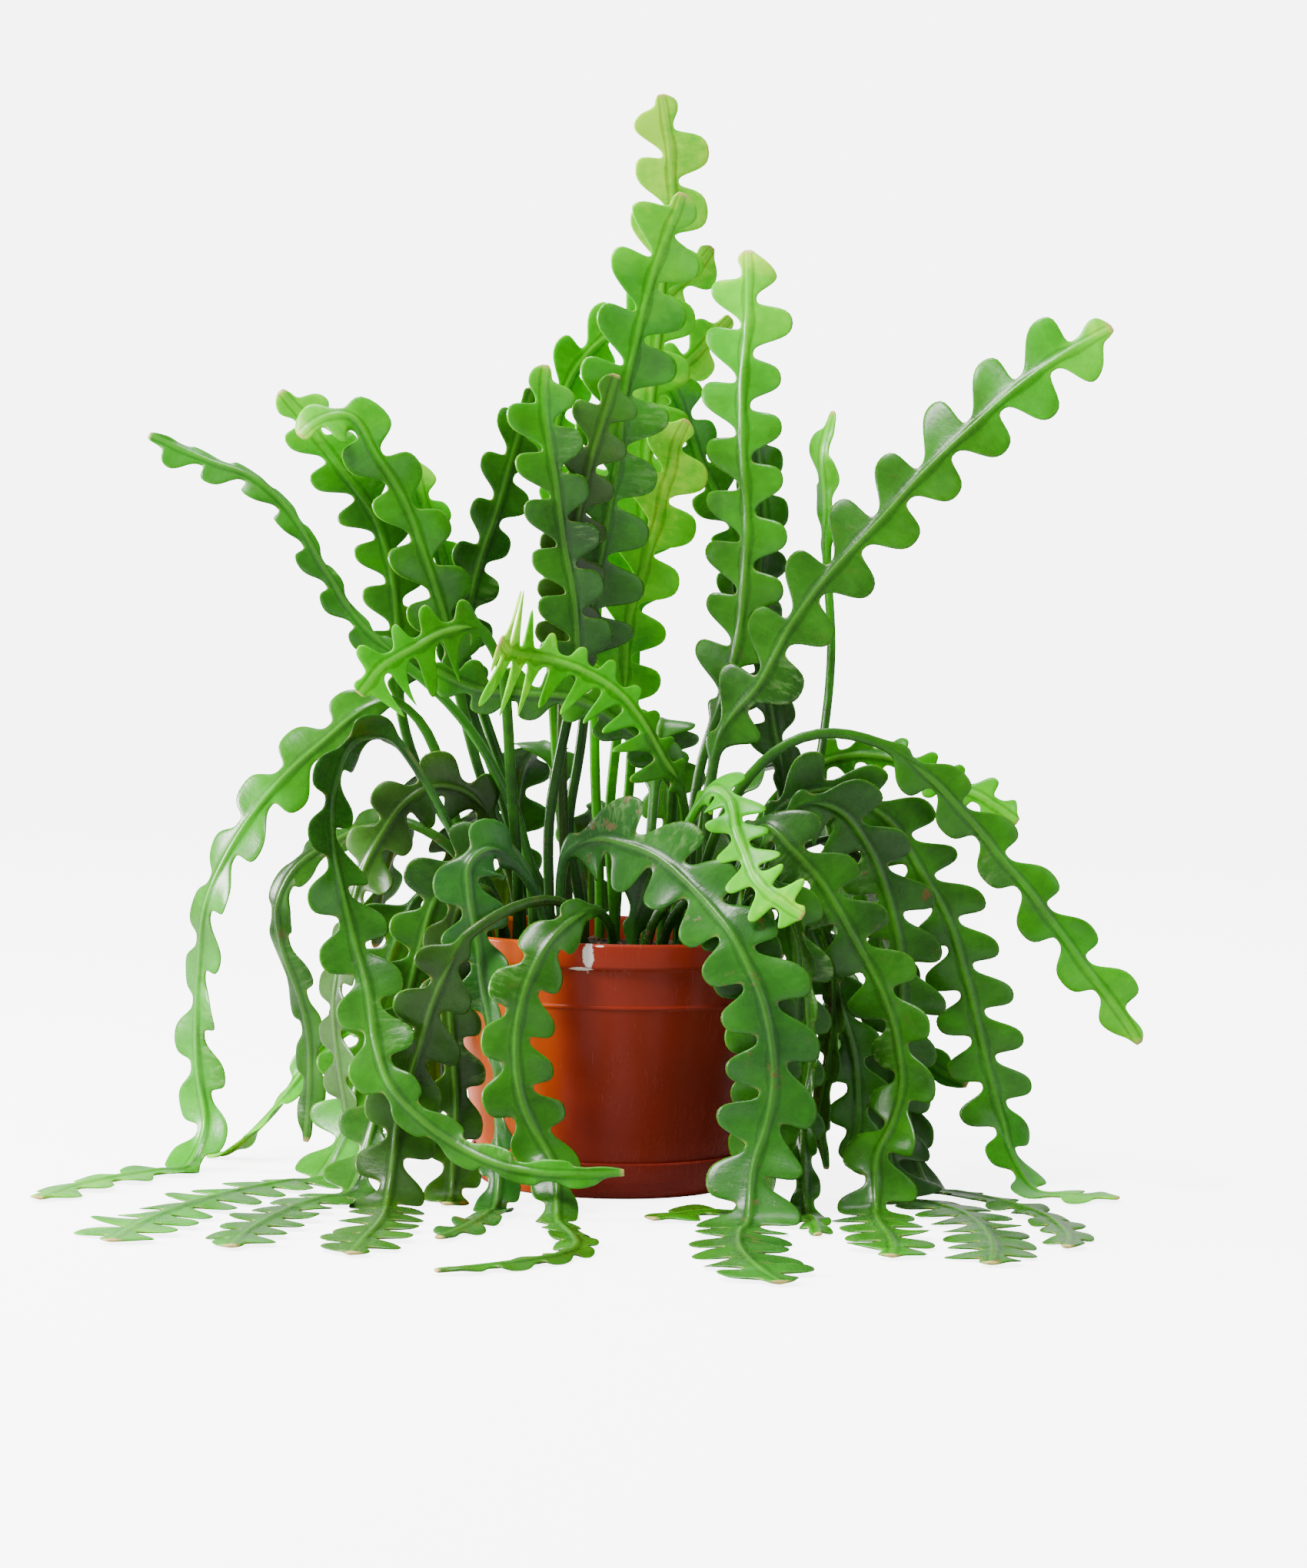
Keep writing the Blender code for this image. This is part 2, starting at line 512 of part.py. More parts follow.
def back_points(base, bearing, top, out, end, lie):
    """An arch over the rim along a bearing, in millimetres, with its length on the floor."""
    x, y = base
    ground = soil_top(math.hypot(x, y))
    along = Vector((math.cos(math.radians(bearing)), math.sin(math.radians(bearing)), 0.0))
    foot = Vector((x, y, 0.0))
    start = foot.dot(along)
    points = [foot + Vector((0.0, 0.0, ground + rise))
              for rise in (-POCKET_DEPTH, CLEAR_RISE, 10.0)]
    rise = top - ground
    for share, height in ((0.22, 0.62), (0.5, 0.97), (0.78, 0.86), (0.95, 0.5)):
        reach = start + share * (out - start)
        side = foot.lerp(along * start, min(1.0, share * 1.6))
        points.append(side + along * (reach - start) + Vector((0, 0, ground + rise * height)))
    drop = ground + rise * 0.5 - end
    for share in (0.35, 0.7, 1.0):
        lean = out + 5.0 * share
        points.append(along * lean + Vector((0, 0, end + drop * (1.0 - share))))
    if lie:
        for share in (0.22, 0.6, 1.0):
            points.append(along * (out + 6.0 + lie * share) + Vector((0, 0, FLOOR_REST)))
    return points


class Route:
    """A smooth curve through chosen points, read by length along it."""

    def __init__(self, points):
        spots = np.array([tuple(p) for p in points])
        spans = np.linalg.norm(np.diff(spots, axis=0), axis=1)
        slopes = np.zeros_like(spots)
        slopes[0] = (spots[1] - spots[0]) / spans[0]
        slopes[-1] = (spots[-1] - spots[-2]) / spans[-1]
        for i in range(1, len(spots) - 1):
            before = (spots[i] - spots[i - 1]) / spans[i - 1]
            after = (spots[i + 1] - spots[i]) / spans[i]
            slopes[i] = (before * spans[i] + after * spans[i - 1]) / (spans[i] + spans[i - 1])
        line = [spots[0]]
        for i, span in enumerate(spans):
            for t in np.linspace(0.0, 1.0, 13)[1:]:
                a = 2 * t ** 3 - 3 * t ** 2 + 1
                b = t ** 3 - 2 * t ** 2 + t
                c = -2 * t ** 3 + 3 * t ** 2
                d = t ** 3 - t ** 2
                line.append(a * spots[i] + b * span * slopes[i]
                            + c * spots[i + 1] + d * span * slopes[i + 1])
        self.line = np.array(line)
        steps = np.linalg.norm(np.diff(self.line, axis=0), axis=1)
        self.run = np.concatenate(([0.0], np.cumsum(steps)))
        self.length = float(self.run[-1])

    def at(self, s):
        return Vector([float(np.interp(s, self.run, self.line[:, k])) for k in range(3)])

    def heading(self, s):
        return (self.at(min(s + 3.0, self.length)) - self.at(max(s - 3.0, 0.0))).normalized()


def smooth_share(value):
    value = min(1.0, max(0.0, value))
    return value * value * (3.0 - 2.0 * value)


class Frames:
    """The way the blade faces along a route: to the front when it hangs or stands, and up
    where it lies, carried evenly through the bends and turned about the rib."""

    STEP = 2.0
    FOLLOW = 0.12

    def __init__(self, route, front, lies, turns):
        count = int(route.length / self.STEP) + 2
        self.stations = np.linspace(0.0, route.length, count)
        faces = []
        face = None
        for s in reversed(self.stations):
            heading = route.heading(s)
            down = smooth_share((FLOOR_BLEND_Z - route.at(s).z) / 26.0) if lies else 0.0
            wanted = front.lerp(Vector((0.0, 0.0, 1.0)), down)
            wanted -= heading * wanted.dot(heading)
            if face is None:
                face = wanted.normalized()
            if wanted.dot(face) < 0.0:
                wanted.negate()
            face = face - heading * face.dot(heading) + wanted * self.FOLLOW
            face.normalize()
            turn = np.interp(s / route.length, [t[0] for t in turns], [t[1] for t in turns])
            about = Matrix.Rotation(math.radians(float(turn) * (1.0 - down)), 3, heading)
            faces.append(tuple(about @ face))
        self.faces = np.array(faces[::-1])

    def face(self, s, heading):
        face = Vector([float(np.interp(s, self.stations, self.faces[:, k])) for k in range(3)])
        face -= heading * face.dot(heading)
        return face.normalized()


def lobe_share(phase):
    """How far out the margin is, from 0 in a notch to 1 on a lobe."""
    return smooth_share(0.5 + 0.78 * math.cos(phase))


def stem_stations(length, stalk, pitch):
    """Lengths along the rib where the section changes: the stalk, each lobe and the tip."""
    stations = [0.0, POCKET_DEPTH + CLEAR_RISE]
    gap = (stalk - stations[-1]) / max(1, round((stalk - stations[-1]) / 26.0))
    while stations[-1] + gap < stalk - 1.0:
        stations.append(stations[-1] + gap)
    first = stalk
    lobes = int((length - first) / pitch) + 1
    for lobe in range(lobes):
        for phase in LOBE_PHASES:
            s = first + pitch * (lobe + 0.5 + phase / 360.0)
            if stations[-1] + 2.0 < s < length - 3.0:
                stations.append(s)
    stations.append(length)
    return stations


def margin_reach(s, side_phase, length, stem):
    """Half width of the blade on one side and how far its margin is shifted tipward."""
    lobed = s - stem["stalk"]
    if lobed <= 0.0:
        return STALK_HALF_WIDTH, 0.0
    phase = 2.0 * math.pi * (lobed / stem["pitch"] - 0.5) + side_phase
    grow = smooth_share(lobed / (0.8 * stem["pitch"]))
    fade = smooth_share((length - s) / (1.5 * stem["pitch"]))
    fade = 0.25 + 0.75 * fade
    reach = stem["reach"] * float(np.interp(s / length, *zip(*stem["widths"])))
    notch = min(SINUS_HALF_WIDTH, 0.35 * reach)
    width = notch + (reach * fade - notch) * lobe_share(phase)
    width = max(TIP_HALF_WIDTH, STALK_HALF_WIDTH + (width - STALK_HALF_WIDTH) * grow)
    shift = LOBE_LEAN * width + LOBE_BULGE * stem["pitch"] * math.sin(phase) * 2.0
    return width, shift * grow * min(1.0, (length - s) / stem["pitch"])


def rib_depth(s, length, stalk):
    if s < stalk:
        return STALK_HALF_DEPTH + (RIB_HALF_DEPTH - STALK_HALF_DEPTH) * s / stalk
    tipward = smooth_share((s - (length - 60.0)) / 60.0)
    return RIB_HALF_DEPTH + (TIP_HALF_DEPTH - RIB_HALF_DEPTH) * tipward


def section_corners(s, route, frames, stem):
    """The section's four corners: both margins and the rib on both faces."""
    length = route.length
    heading = route.heading(s)
    face = frames.face(s, heading)
    middle = route.at(s)
    depth = rib_depth(s, length, stem["stalk"])
    corners = []
    for sign, side_phase in ((1.0, 0.0), (-1.0, math.pi)):
        width, shift = margin_reach(s, side_phase, length, stem)
        if s >= length:
            width = TIP_HALF_WIDTH
        there = min(max(s + shift, 0.0), length)
        along = route.heading(there)
        across = along.cross(frames.face(there, along))
        corners.append(route.at(there) + across * (sign * width))
    return [corners[0], middle + face * depth, corners[1], middle - face * depth]


def stem_mesh(name, points, stem, front):
    """A loft along the rib: one end face, extruded section by section to the tip."""
    route = Route(points)
    frames = Frames(route, front, stem["lies"], stem["turns"])
    origin = points[0]
    shape = bmesh.new()
    stations = stem_stations(route.length, stem["stalk"], stem["pitch"])
    ring = [shape.verts.new((c - origin) * MM)
            for c in section_corners(stations[0], route, frames, stem)]
    shape.faces.new(ring)
    for s in stations[1:]:
        fresh = [shape.verts.new((c - origin) * MM)
                 for c in section_corners(s, route, frames, stem)]
        for i in range(4):
            shape.faces.new((ring[i], ring[(i + 1) % 4], fresh[(i + 1) % 4], fresh[i]))
        ring = fresh
    shape.faces.new(reversed(ring))
    bmesh.ops.recalc_face_normals(shape, faces=shape.faces)
    mesh = bpy.data.meshes.new(name)
    shape.to_mesh(mesh)
    shape.free()
    return mesh, origin * MM, section_corners(0.0, route, frames, stem)


def pocket_cutter(feet, group):
    """Pockets in the soil that the stalks stand in, as one cutter of loose prisms."""
    mesh = bpy.data.meshes.new("pocket_cutter")
    shape = bmesh.new()
    for corners in feet:
        middle = sum(corners, Vector()) / 4.0
        wide = [c + (c - middle).normalized() * POCKET_MARGIN for c in corners]
        low = [shape.verts.new((c.x * MM, c.y * MM, (middle.z - GAP) * MM)) for c in wide]
        face = shape.faces.new(low)
        lifted = bmesh.ops.extrude_face_region(shape, geom=[face])
        tops = [v for v in lifted["geom"] if isinstance(v, bmesh.types.BMVert)]
        bmesh.ops.translate(shape, verts=tops, vec=(0.0, 0.0, 30.0 * MM))
    bmesh.ops.recalc_face_normals(shape, faces=shape.faces)
    shape.to_mesh(mesh)
    shape.free()
    item = bpy.data.objects.new("pocket_cutter", mesh)
    group.objects.link(item)
    return item


def full_stem(values):
    stem = dict(turns=[(0.0, 0.0), (1.0, 0.0)], widths=[(0.0, 1.0), (1.0, 1.0)], floor=[])
    stem.update(values)
    stem["lies"] = bool(stem["floor"])
    return stem


def build_stems(group, leaf, young):
    feet = []
    front = Vector((0.0, -1.0, 0.0))
    for name, values in STEMS.items():
        stem = full_stem(values)
        points = stem_points(stem["base"], stem["route"], stem["floor"])
        mesh, place, foot = stem_mesh("stem_" + name, points, stem, front)
        material = young if name in YOUNG_STEMS else leaf
        add_object("stem_" + name, mesh, group, material, place)
        feet.append(foot)
    for name, arch in BACK_STEMS.items():
        stem = full_stem(dict(reach=BACK_REACH, pitch=BACK_PITCH, stalk=BACK_STALK))
        stem["lies"] = arch["lie"] > 0
        bearing = math.radians(arch["bearing"])
        outward = Vector((math.cos(bearing), math.sin(bearing), 0.0))
        mesh, place, foot = stem_mesh("stem_" + name, back_points(**arch), stem, outward)
        add_object("stem_" + name, mesh, group, leaf, place)
        feet.append(foot)
    return feet


def build():
    remove_scene_objects()
    group = new_collection(COLLECTION)
    cutters = new_collection("cutters")
    leaf = plain_material("leaf_green", LEAF_GREEN, 0.35)
    young = plain_material("young_green", YOUNG_GREEN, 0.38)
    plastic = plain_material("terracotta_plastic", TERRACOTTA, 0.22)
    drip = plain_material("saucer_plastic", TERRACOTTA, 0.25)
    earth = plain_material("soil_brown", SOIL_BROWN, 0.95)

    pot = turned_object("pot", pot_profile(), group, plastic)
    cut_with(pot, drain_cutter(cutters))
    turned_object("saucer", saucer_profile(), group, drip)
    feet = build_stems(group, leaf, young)
    soil = turned_object("soil", soil_profile(), group, earth)
    cut_with(soil, pocket_cutter(feet, cutters))


build()
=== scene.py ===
# %% [markdown]
# # A potted fishbone cactus
# A grown fishbone cactus has flat green stems with deep rounded lobes on both sides of a
# stout midrib. The young middle stems stand up, the outer ones arch over the pot's rim and
# trail, and those that reach the ground lie along it. This lesson builds the fine surface of
# the plant, its plastic pot, its drip saucer and its soil around a plain solid model of the
# same parts, so every piece here starts from the same sizes and the same routes.

# %% Load the plain solid model
import math
import random

import bmesh
import bpy
import numpy as np
from mathutils import Matrix, Vector


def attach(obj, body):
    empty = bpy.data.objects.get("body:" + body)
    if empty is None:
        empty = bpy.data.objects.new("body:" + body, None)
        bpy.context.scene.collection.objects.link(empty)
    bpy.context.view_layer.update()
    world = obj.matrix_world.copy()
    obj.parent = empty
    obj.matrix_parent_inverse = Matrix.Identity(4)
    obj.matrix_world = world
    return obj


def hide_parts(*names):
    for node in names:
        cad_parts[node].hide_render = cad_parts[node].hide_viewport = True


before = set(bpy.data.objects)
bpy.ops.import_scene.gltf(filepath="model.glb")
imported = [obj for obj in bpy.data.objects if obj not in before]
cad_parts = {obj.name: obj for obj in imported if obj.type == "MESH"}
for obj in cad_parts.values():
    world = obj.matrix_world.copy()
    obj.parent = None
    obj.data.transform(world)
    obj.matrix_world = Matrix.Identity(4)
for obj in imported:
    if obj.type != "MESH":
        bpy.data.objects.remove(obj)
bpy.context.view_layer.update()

# %% [markdown]
# ## The camera
# The picture was taken from almost level with the pot, two metres away, with a long lens,
# and the camera leaned by about a degree. A camera can be placed by eye, but here its
# height and lens come from the ellipses of the pot's rim and foot, which is why the lens
# isn't a round number.

# %% Place the camera
MM = 0.001
EYE = Vector((18.3, -2000.0, 300.0))
LOOK_AT = Vector((18.3, 0.0, 203.0))
LENS_MM = 90.5
SENSOR_MM = 36.0
ROLL_DEG = 1.3

camera = bpy.data.objects.new("camera", bpy.data.cameras.new("camera"))
camera.data.lens = LENS_MM
camera.data.sensor_width = SENSOR_MM
camera.location = EYE * MM
gaze = (LOOK_AT - EYE).to_track_quat("-Z", "Y").to_matrix()
camera.rotation_euler = (gaze @ Matrix.Rotation(math.radians(ROLL_DEG), 3, "Z")).to_euler()
bpy.context.scene.collection.objects.link(camera)
bpy.context.scene.camera = camera
print("camera", [round(v, 3) for v in camera.location])

# %% [markdown]
# ## Node helpers
# Every finish below is made of nodes, so that it looks the same from all sides and at any
# size. Wiring nodes by hand takes many lines, and a few small helpers keep each finish
# readable: they add a node and fill its sockets, do a sum, or make a group with named
# inputs and outputs that several materials can share.


# %% Add nodes and fill their sockets
def fill(tree, node, **sockets):
    """Fills sockets by name or number. A value is a number, a colour or a node's output."""
    for key, value in sockets.items():
        by_number = key[0] == "i" and key[1:].isdigit()
        slot = node.inputs[int(key[1:]) if by_number else key.replace("_", " ")]
        if isinstance(value, bpy.types.NodeSocket):
            tree.links.new(value, slot)
        else:
            slot.default_value = value
    return node


def add_node(tree, kind, settings=None, **sockets):
    node = tree.nodes.new(kind)
    for key, value in (settings or {}).items():
        setattr(node, key, value)
    return fill(tree, node, **sockets)


def object_spot(tree):
    return add_node(tree, "ShaderNodeTexCoord").outputs["Object"]


def float_attribute(tree, name):
    return add_node(tree, "ShaderNodeAttribute", {"attribute_name": name}).outputs["Fac"]


def new_material(name):
    material = bpy.data.materials.new(name)
    material.use_nodes = True
    return material, material.node_tree, material.node_tree.nodes["Principled BSDF"]


def new_group(name, inputs, outputs):
    """An empty node group with its sockets, and its input and output nodes."""
    group = bpy.data.node_groups.new(name, "ShaderNodeTree")
    for label, kind, start in inputs:
        socket = group.interface.new_socket(name=label, in_out="INPUT", socket_type=kind)
        socket.default_value = start
    for label, kind in outputs:
        group.interface.new_socket(name=label, in_out="OUTPUT", socket_type=kind)
    return group, group.nodes.new("NodeGroupInput"), group.nodes.new("NodeGroupOutput")


# %% Do sums and patterns with nodes
def math_node(tree, operation, first, second, third=None, clamp=False):
    values = {"i0": first, "i1": second}
    if third is not None:
        values["i2"] = third
    return add_node(tree, "ShaderNodeMath", {"operation": operation, "use_clamp": clamp},
                    **values).outputs[0]


def times(tree, first, second, clamp=False):
    return math_node(tree, "MULTIPLY", first, second, clamp=clamp)


def times_add(tree, first, second, third, clamp=False):
    return math_node(tree, "MULTIPLY_ADD", first, second, third, clamp)


def swing(tree, value, amount):
    """A pattern's value made to swing evenly about zero."""
    return times(tree, math_node(tree, "SUBTRACT", value, 0.5), amount)


def remap(tree, value, low, high, to_low=0.0, to_high=1.0):
    """A smooth step of a value from one range to another."""
    return add_node(tree, "ShaderNodeMapRange", {"interpolation_type": "SMOOTHSTEP"},
                    i0=value, i1=low, i2=high, i3=to_low, i4=to_high).outputs[0]


def mix_colour(tree, share, first, second):
    return add_node(tree, "ShaderNodeMix", {"data_type": "RGBA"},
                    i0=share, i6=first, i7=second).outputs[2]


def noise(tree, vector, scale, detail, roughness, distortion=0.0):
    return add_node(tree, "ShaderNodeTexNoise", None, Vector=vector, Scale=scale,
                    Detail=detail, Roughness=roughness, Distortion=distortion).outputs["Fac"]


def bump(tree, height, strength, distance):
    return add_node(tree, "ShaderNodeBump", None, Strength=strength, Distance=distance,
                    Height=height).outputs[0]


print("node helpers ready")

# %% [markdown]
# ## Studio light and a pale floor
# The picture is high-key, nearly white all round the plant. A bright soft light stands low
# on the left, a second one high in front, a weak one fills in from the right and one hangs
# overhead. The pale sweep is a floor that curves up into a wall. Two flat planes would show
# a line where they meet. The camera sees the sweep and the air brighter than they light the
# plant, so the background is nearly white and the lobes still have dark sides.

# %% Add the lights
# name: place, aim, size in metres, watts and colour
LIGHTS = {
    "window_light": ((-2.2, -0.05, 0.62), (0.0, 0.0, 0.14), 0.7, 165.0, (1.0, 0.985, 0.95)),
    "key_light": ((-1.0, -1.2, 2.3), (0.0, 0.0, 0.30), 0.7, 118.0, (1.0, 0.99, 0.97)),
    "fill_light": ((1.9, -1.5, 0.9), (0.0, 0.0, 0.2), 1.6, 13.0, (0.97, 0.985, 1.0)),
    "top_light": ((-0.2, 0.5, 2.2), (0.0, 0.0, 0.25), 1.0, 48.0, (1.0, 1.0, 1.0)),
}
for name, (place, aim, size, watts, colour) in LIGHTS.items():
    lamp = bpy.data.lights.new(name, "AREA")
    lamp.size = size
    lamp.energy = watts
    lamp.color = colour
    light = bpy.data.objects.new(name, lamp)
    light.location = place
    light.rotation_euler = (Vector(aim) - Vector(place)).to_track_quat("-Z", "Y").to_euler()
    bpy.context.scene.collection.objects.link(light)

AIR_COLOUR = (0.96, 0.97, 0.98, 1.0)
AIR_LIGHT = 0.28
AIR_SEEN = 6.2
world = bpy.data.worlds.new("studio")
world.use_nodes = True
air = world.node_tree
seen_directly = add_node(air, "ShaderNodeLightPath").outputs["Is Camera Ray"]
fill(air, air.nodes["Background"], Color=AIR_COLOUR,
     Strength=times_add(air, seen_directly, AIR_SEEN - AIR_LIGHT, AIR_LIGHT))
bpy.context.scene.world = world
print("lights:", len(LIGHTS))

# %% Build the sweep
SWEEP_WIDTH = 9.0
SWEEP_DEPTH = 3.2
SWEEP_RADIUS = 1.2
SWEEP_HEIGHT = 4.0
SWEEP_STEPS = 24


def only(kind, result):
    return [part for part in result if isinstance(part, kind)]


def build_sweep():
    """A strip of floor, spun up through a quarter turn and drawn on into a wall."""
    shape = bmesh.new()
    ends = [shape.verts.new((x, -SWEEP_DEPTH, 0.0)) for x in (-SWEEP_WIDTH / 2, SWEEP_WIDTH / 2)]
    flat = bmesh.ops.extrude_edge_only(shape, edges=[shape.edges.new(ends)])
    bmesh.ops.translate(shape, verts=only(bmesh.types.BMVert, flat["geom"]),
                        vec=(0.0, 2.0 * SWEEP_DEPTH, 0.0))
    line = [e for e in shape.edges if all(v.co.y > 0.0 for v in e.verts)]
    turn = bmesh.ops.spin(shape, geom=line, cent=(0.0, SWEEP_DEPTH, SWEEP_RADIUS),
                          axis=(1.0, 0.0, 0.0), angle=math.radians(90.0), steps=SWEEP_STEPS)
    wall = bmesh.ops.extrude_edge_only(shape, edges=only(bmesh.types.BMEdge, turn["geom_last"]))
    bmesh.ops.translate(shape, verts=only(bmesh.types.BMVert, wall["geom"]),
                        vec=(0.0, 0.0, SWEEP_HEIGHT))
    bmesh.ops.recalc_face_normals(shape, faces=shape.faces)
    return shape


def finished_mesh(shape, name, smooth=True):
    mesh = bpy.data.meshes.new(name)
    shape.to_mesh(mesh)
    shape.free()
    if smooth:
        mesh.shade_smooth()
    return mesh


def place_piece(name, mesh, material):
    item = bpy.data.objects.new(name, mesh)
    bpy.context.scene.collection.objects.link(item)
    mesh.materials.append(material)
    return item


PAPER_AS_SEEN = (0.88, 0.885, 0.89, 1.0)
PAPER_AS_BOUNCED = (0.42, 0.42, 0.42, 1.0)
PAPER_GLOW = 5.2
PAPER_BACK_GLOW = 0.5
PAPER_BACK_FROM, PAPER_BACK_TO = 0.3, 2.2


def sweep_paper():
    """Pale paper that glows more the further back it is, and throws little light forward."""
    material, tree, shader = new_material("sweep_paper")
    seen = add_node(tree, "ShaderNodeLightPath").outputs["Is Camera Ray"]
    parts = add_node(tree, "ShaderNodeSeparateXYZ", None, Vector=object_spot(tree))
    back = remap(tree, parts.outputs["Y"], PAPER_BACK_FROM, PAPER_BACK_TO)
    glow = times_add(tree, back, PAPER_BACK_GLOW, times(tree, seen, PAPER_GLOW))
    fill(tree, shader, Roughness=0.85, Specular_IOR_Level=0.1, Emission_Strength=glow,
         Base_Color=mix_colour(tree, seen, PAPER_AS_BOUNCED, PAPER_AS_SEEN),
         Emission_Color=(1.0, 1.0, 1.0, 1.0))
    return material


sweep = place_piece("pale_sweep", finished_mesh(build_sweep(), "pale_sweep"), sweep_paper())
print("sweep faces:", len(sweep.data.polygons))

# %% [markdown]
# ## The skin of the stems
# The skin is a thin waxy layer over wet green flesh. It is a little uneven in tone, with
# faint streaks that run out from the rib to the margins, a paler rib that is partly its own
# colour and partly a painted highlight where the raised rib catches the light, a painted
# shade in the groove beside it and a small tan areole in each notch. The newest growth is
# yellow-green, and old stems have a few corky brown scars. Whitish streaks on a few lobes are
# a painted sheen. All of this follows the blade, so it can't come from a pattern in space
# alone: the mesh of each stem carries its own values, which say how far along, how far
# across, how young and how scarred each point is, with painted shade in its tone and
# painted sheen on some lobes, and the finish reads them.

# %% Name the colours of the skin
DARK_SKIN = (0.007, 0.028, 0.003, 1.0)
DEEP_SKIN = (0.014, 0.072, 0.005, 1.0)
GREEN_SKIN = (0.027, 0.172, 0.003, 1.0)
BRIGHT_SKIN = (0.034, 0.335, 0.001, 1.0)
YOUNG_SKIN = (0.108, 0.580, 0.000, 1.0)
PALE_SKIN = (0.430, 0.860, 0.012, 1.0)
SKIN_STOPS = ((0.0, DARK_SKIN), (0.22, DEEP_SKIN), (0.45, GREEN_SKIN), (0.66, BRIGHT_SKIN),
              (0.86, YOUNG_SKIN), (1.0, PALE_SKIN))
# painted shade: stems in the shade of the others are turned olive
SHADED_OLIVE_SKIN = (0.044, 0.085, 0.005, 1.0)
BLUE_GREEN_SKIN = (0.013, 0.090, 0.026, 1.0)
# painted sheen: whitish streaks on a few lobes stand for the glare of the lights on the wax
PAINTED_SHEEN_COLOUR = (0.50, 0.72, 0.30, 1.0)
# the rib's pale line: partly its own paler colour, partly a painted highlight of the raised rib
RIB_PALE_AND_HIGHLIGHT = (0.20, 0.50, 0.05, 1.0)
MARGIN_SKIN = (0.30, 0.50, 0.04, 1.0)
AREOLE_TAN = (0.500, 0.400, 0.120, 1.0)
CORK_BROWN = (0.120, 0.048, 0.010, 1.0)
CLOUD_SHARE, FINE_SHARE = 0.42, 0.14
SHEEN_SHARE, MARGIN_SHARE, GROOVE_SHADE_SHARE, BLUE_SHARE = 0.2, 0.02, 0.35, -0.75
FLOAT, COLOUR = "NodeSocketFloat", "NodeSocketColor"


# %% Make the shared skin group
def colour_ramp(tree, value, stops):
    ramp = add_node(tree, "ShaderNodeValToRGB", None, i0=value)
    while len(ramp.color_ramp.elements) < len(stops):
        ramp.color_ramp.elements.new(0.5)
    for element, (place, colour) in zip(ramp.color_ramp.elements, stops):
        element.position = place
        element.color = colour
    return ramp.outputs["Color"]


def build_skin_group():
    group, entry, leave = new_group(
        "leaf_skin",
        [("Tint", FLOAT, 0.4), ("Streaks", FLOAT, 0.3), ("Rib", FLOAT, 0.4)],
        [("Color", COLOUR), ("Roughness", FLOAT), ("Height", FLOAT)])
    spot = object_spot(group)
    mark = {key: float_attribute(group, key)
            for key in ("along", "from_rib", "from_edge", "hue", "painted_sheen", "scar", "bud", "seed")}
    broad = noise(group, spot, 38.0, 3.0, 0.55)
    fine = noise(group, spot, 210.0, 4.0, 0.6)
    lane = add_node(group, "ShaderNodeCombineXYZ", None, X=times(group, mark["along"], 330.0),
                    Y=times(group, mark["from_rib"], 90.0), Z=mark["seed"]).outputs[0]
    streak = noise(group, lane, 1.0, 4.0, 0.62, 0.4)

    tone = math_node(group, "ADD", entry.outputs["Tint"], swing(group, broad, CLOUD_SHARE))
    tone = math_node(group, "ADD", tone, swing(group, streak, entry.outputs["Streaks"]))
    tone = math_node(group, "ADD", tone, swing(group, fine, FINE_SHARE), clamp=True)
    colour = colour_ramp(group, tone, SKIN_STOPS)

    # painted sheen: whitish streaks on a few lobes
    painted_sheen = times(group, mark["painted_sheen"], remap(group, streak, 0.46, 0.66), clamp=True)
    # paler rib: partly its own colour, partly a painted highlight where the raised rib catches
    # light
    rib = remap(group, mark["from_rib"], 0.0006, 0.0017, 1.0, 0.0)
    # painted shade: a dark line in the groove beside the raised rib
    groove = times(group, remap(group, mark["from_rib"], 0.0013, 0.0019),
                   remap(group, mark["from_rib"], 0.0022, 0.0032, GROOVE_SHADE_SHARE, 0.0))
    edge = remap(group, mark["from_edge"], 0.0001, 0.0008, 1.0, 0.0)
    cork = remap(group, noise(group, spot, 95.0, 5.0, 0.65), 0.60, 0.70)
    cork = times(group, cork, mark["scar"], clamp=True)
    # the olive layer is painted shade; the blue green is the oldest stems' own tone
    for share, layer in (
            (times(group, mark["hue"], 1.0, clamp=True), SHADED_OLIVE_SKIN),
            (times(group, mark["hue"], BLUE_SHARE, clamp=True), BLUE_GREEN_SKIN),
            (times(group, painted_sheen, SHEEN_SHARE), PAINTED_SHEEN_COLOUR),
            (times(group, rib, entry.outputs["Rib"]), RIB_PALE_AND_HIGHLIGHT),
            (groove, DARK_SKIN),
            (times(group, edge, MARGIN_SHARE), MARGIN_SKIN),
            (mark["bud"], AREOLE_TAN),
            (cork, CORK_BROWN)):
        colour = mix_colour(group, share, colour, layer)

    rough = times_add(group, broad, 0.20, 0.17)
    height = times_add(group, streak, 0.6, times(group, fine, 0.5))
    fill(group, leave, Color=colour, Roughness=times_add(group, cork, 0.35, rough, clamp=True),
         Height=times_add(group, cork, 0.8, height))
    return group


skin_group = build_skin_group()
print("skin group nodes:", len(skin_group.nodes))

# %% Make the two stem materials
FLESH_RADIUS = (0.60, 1.0, 0.12)
FLESH_SCALE = 0.003
SKIN_RELIEF = 0.0004


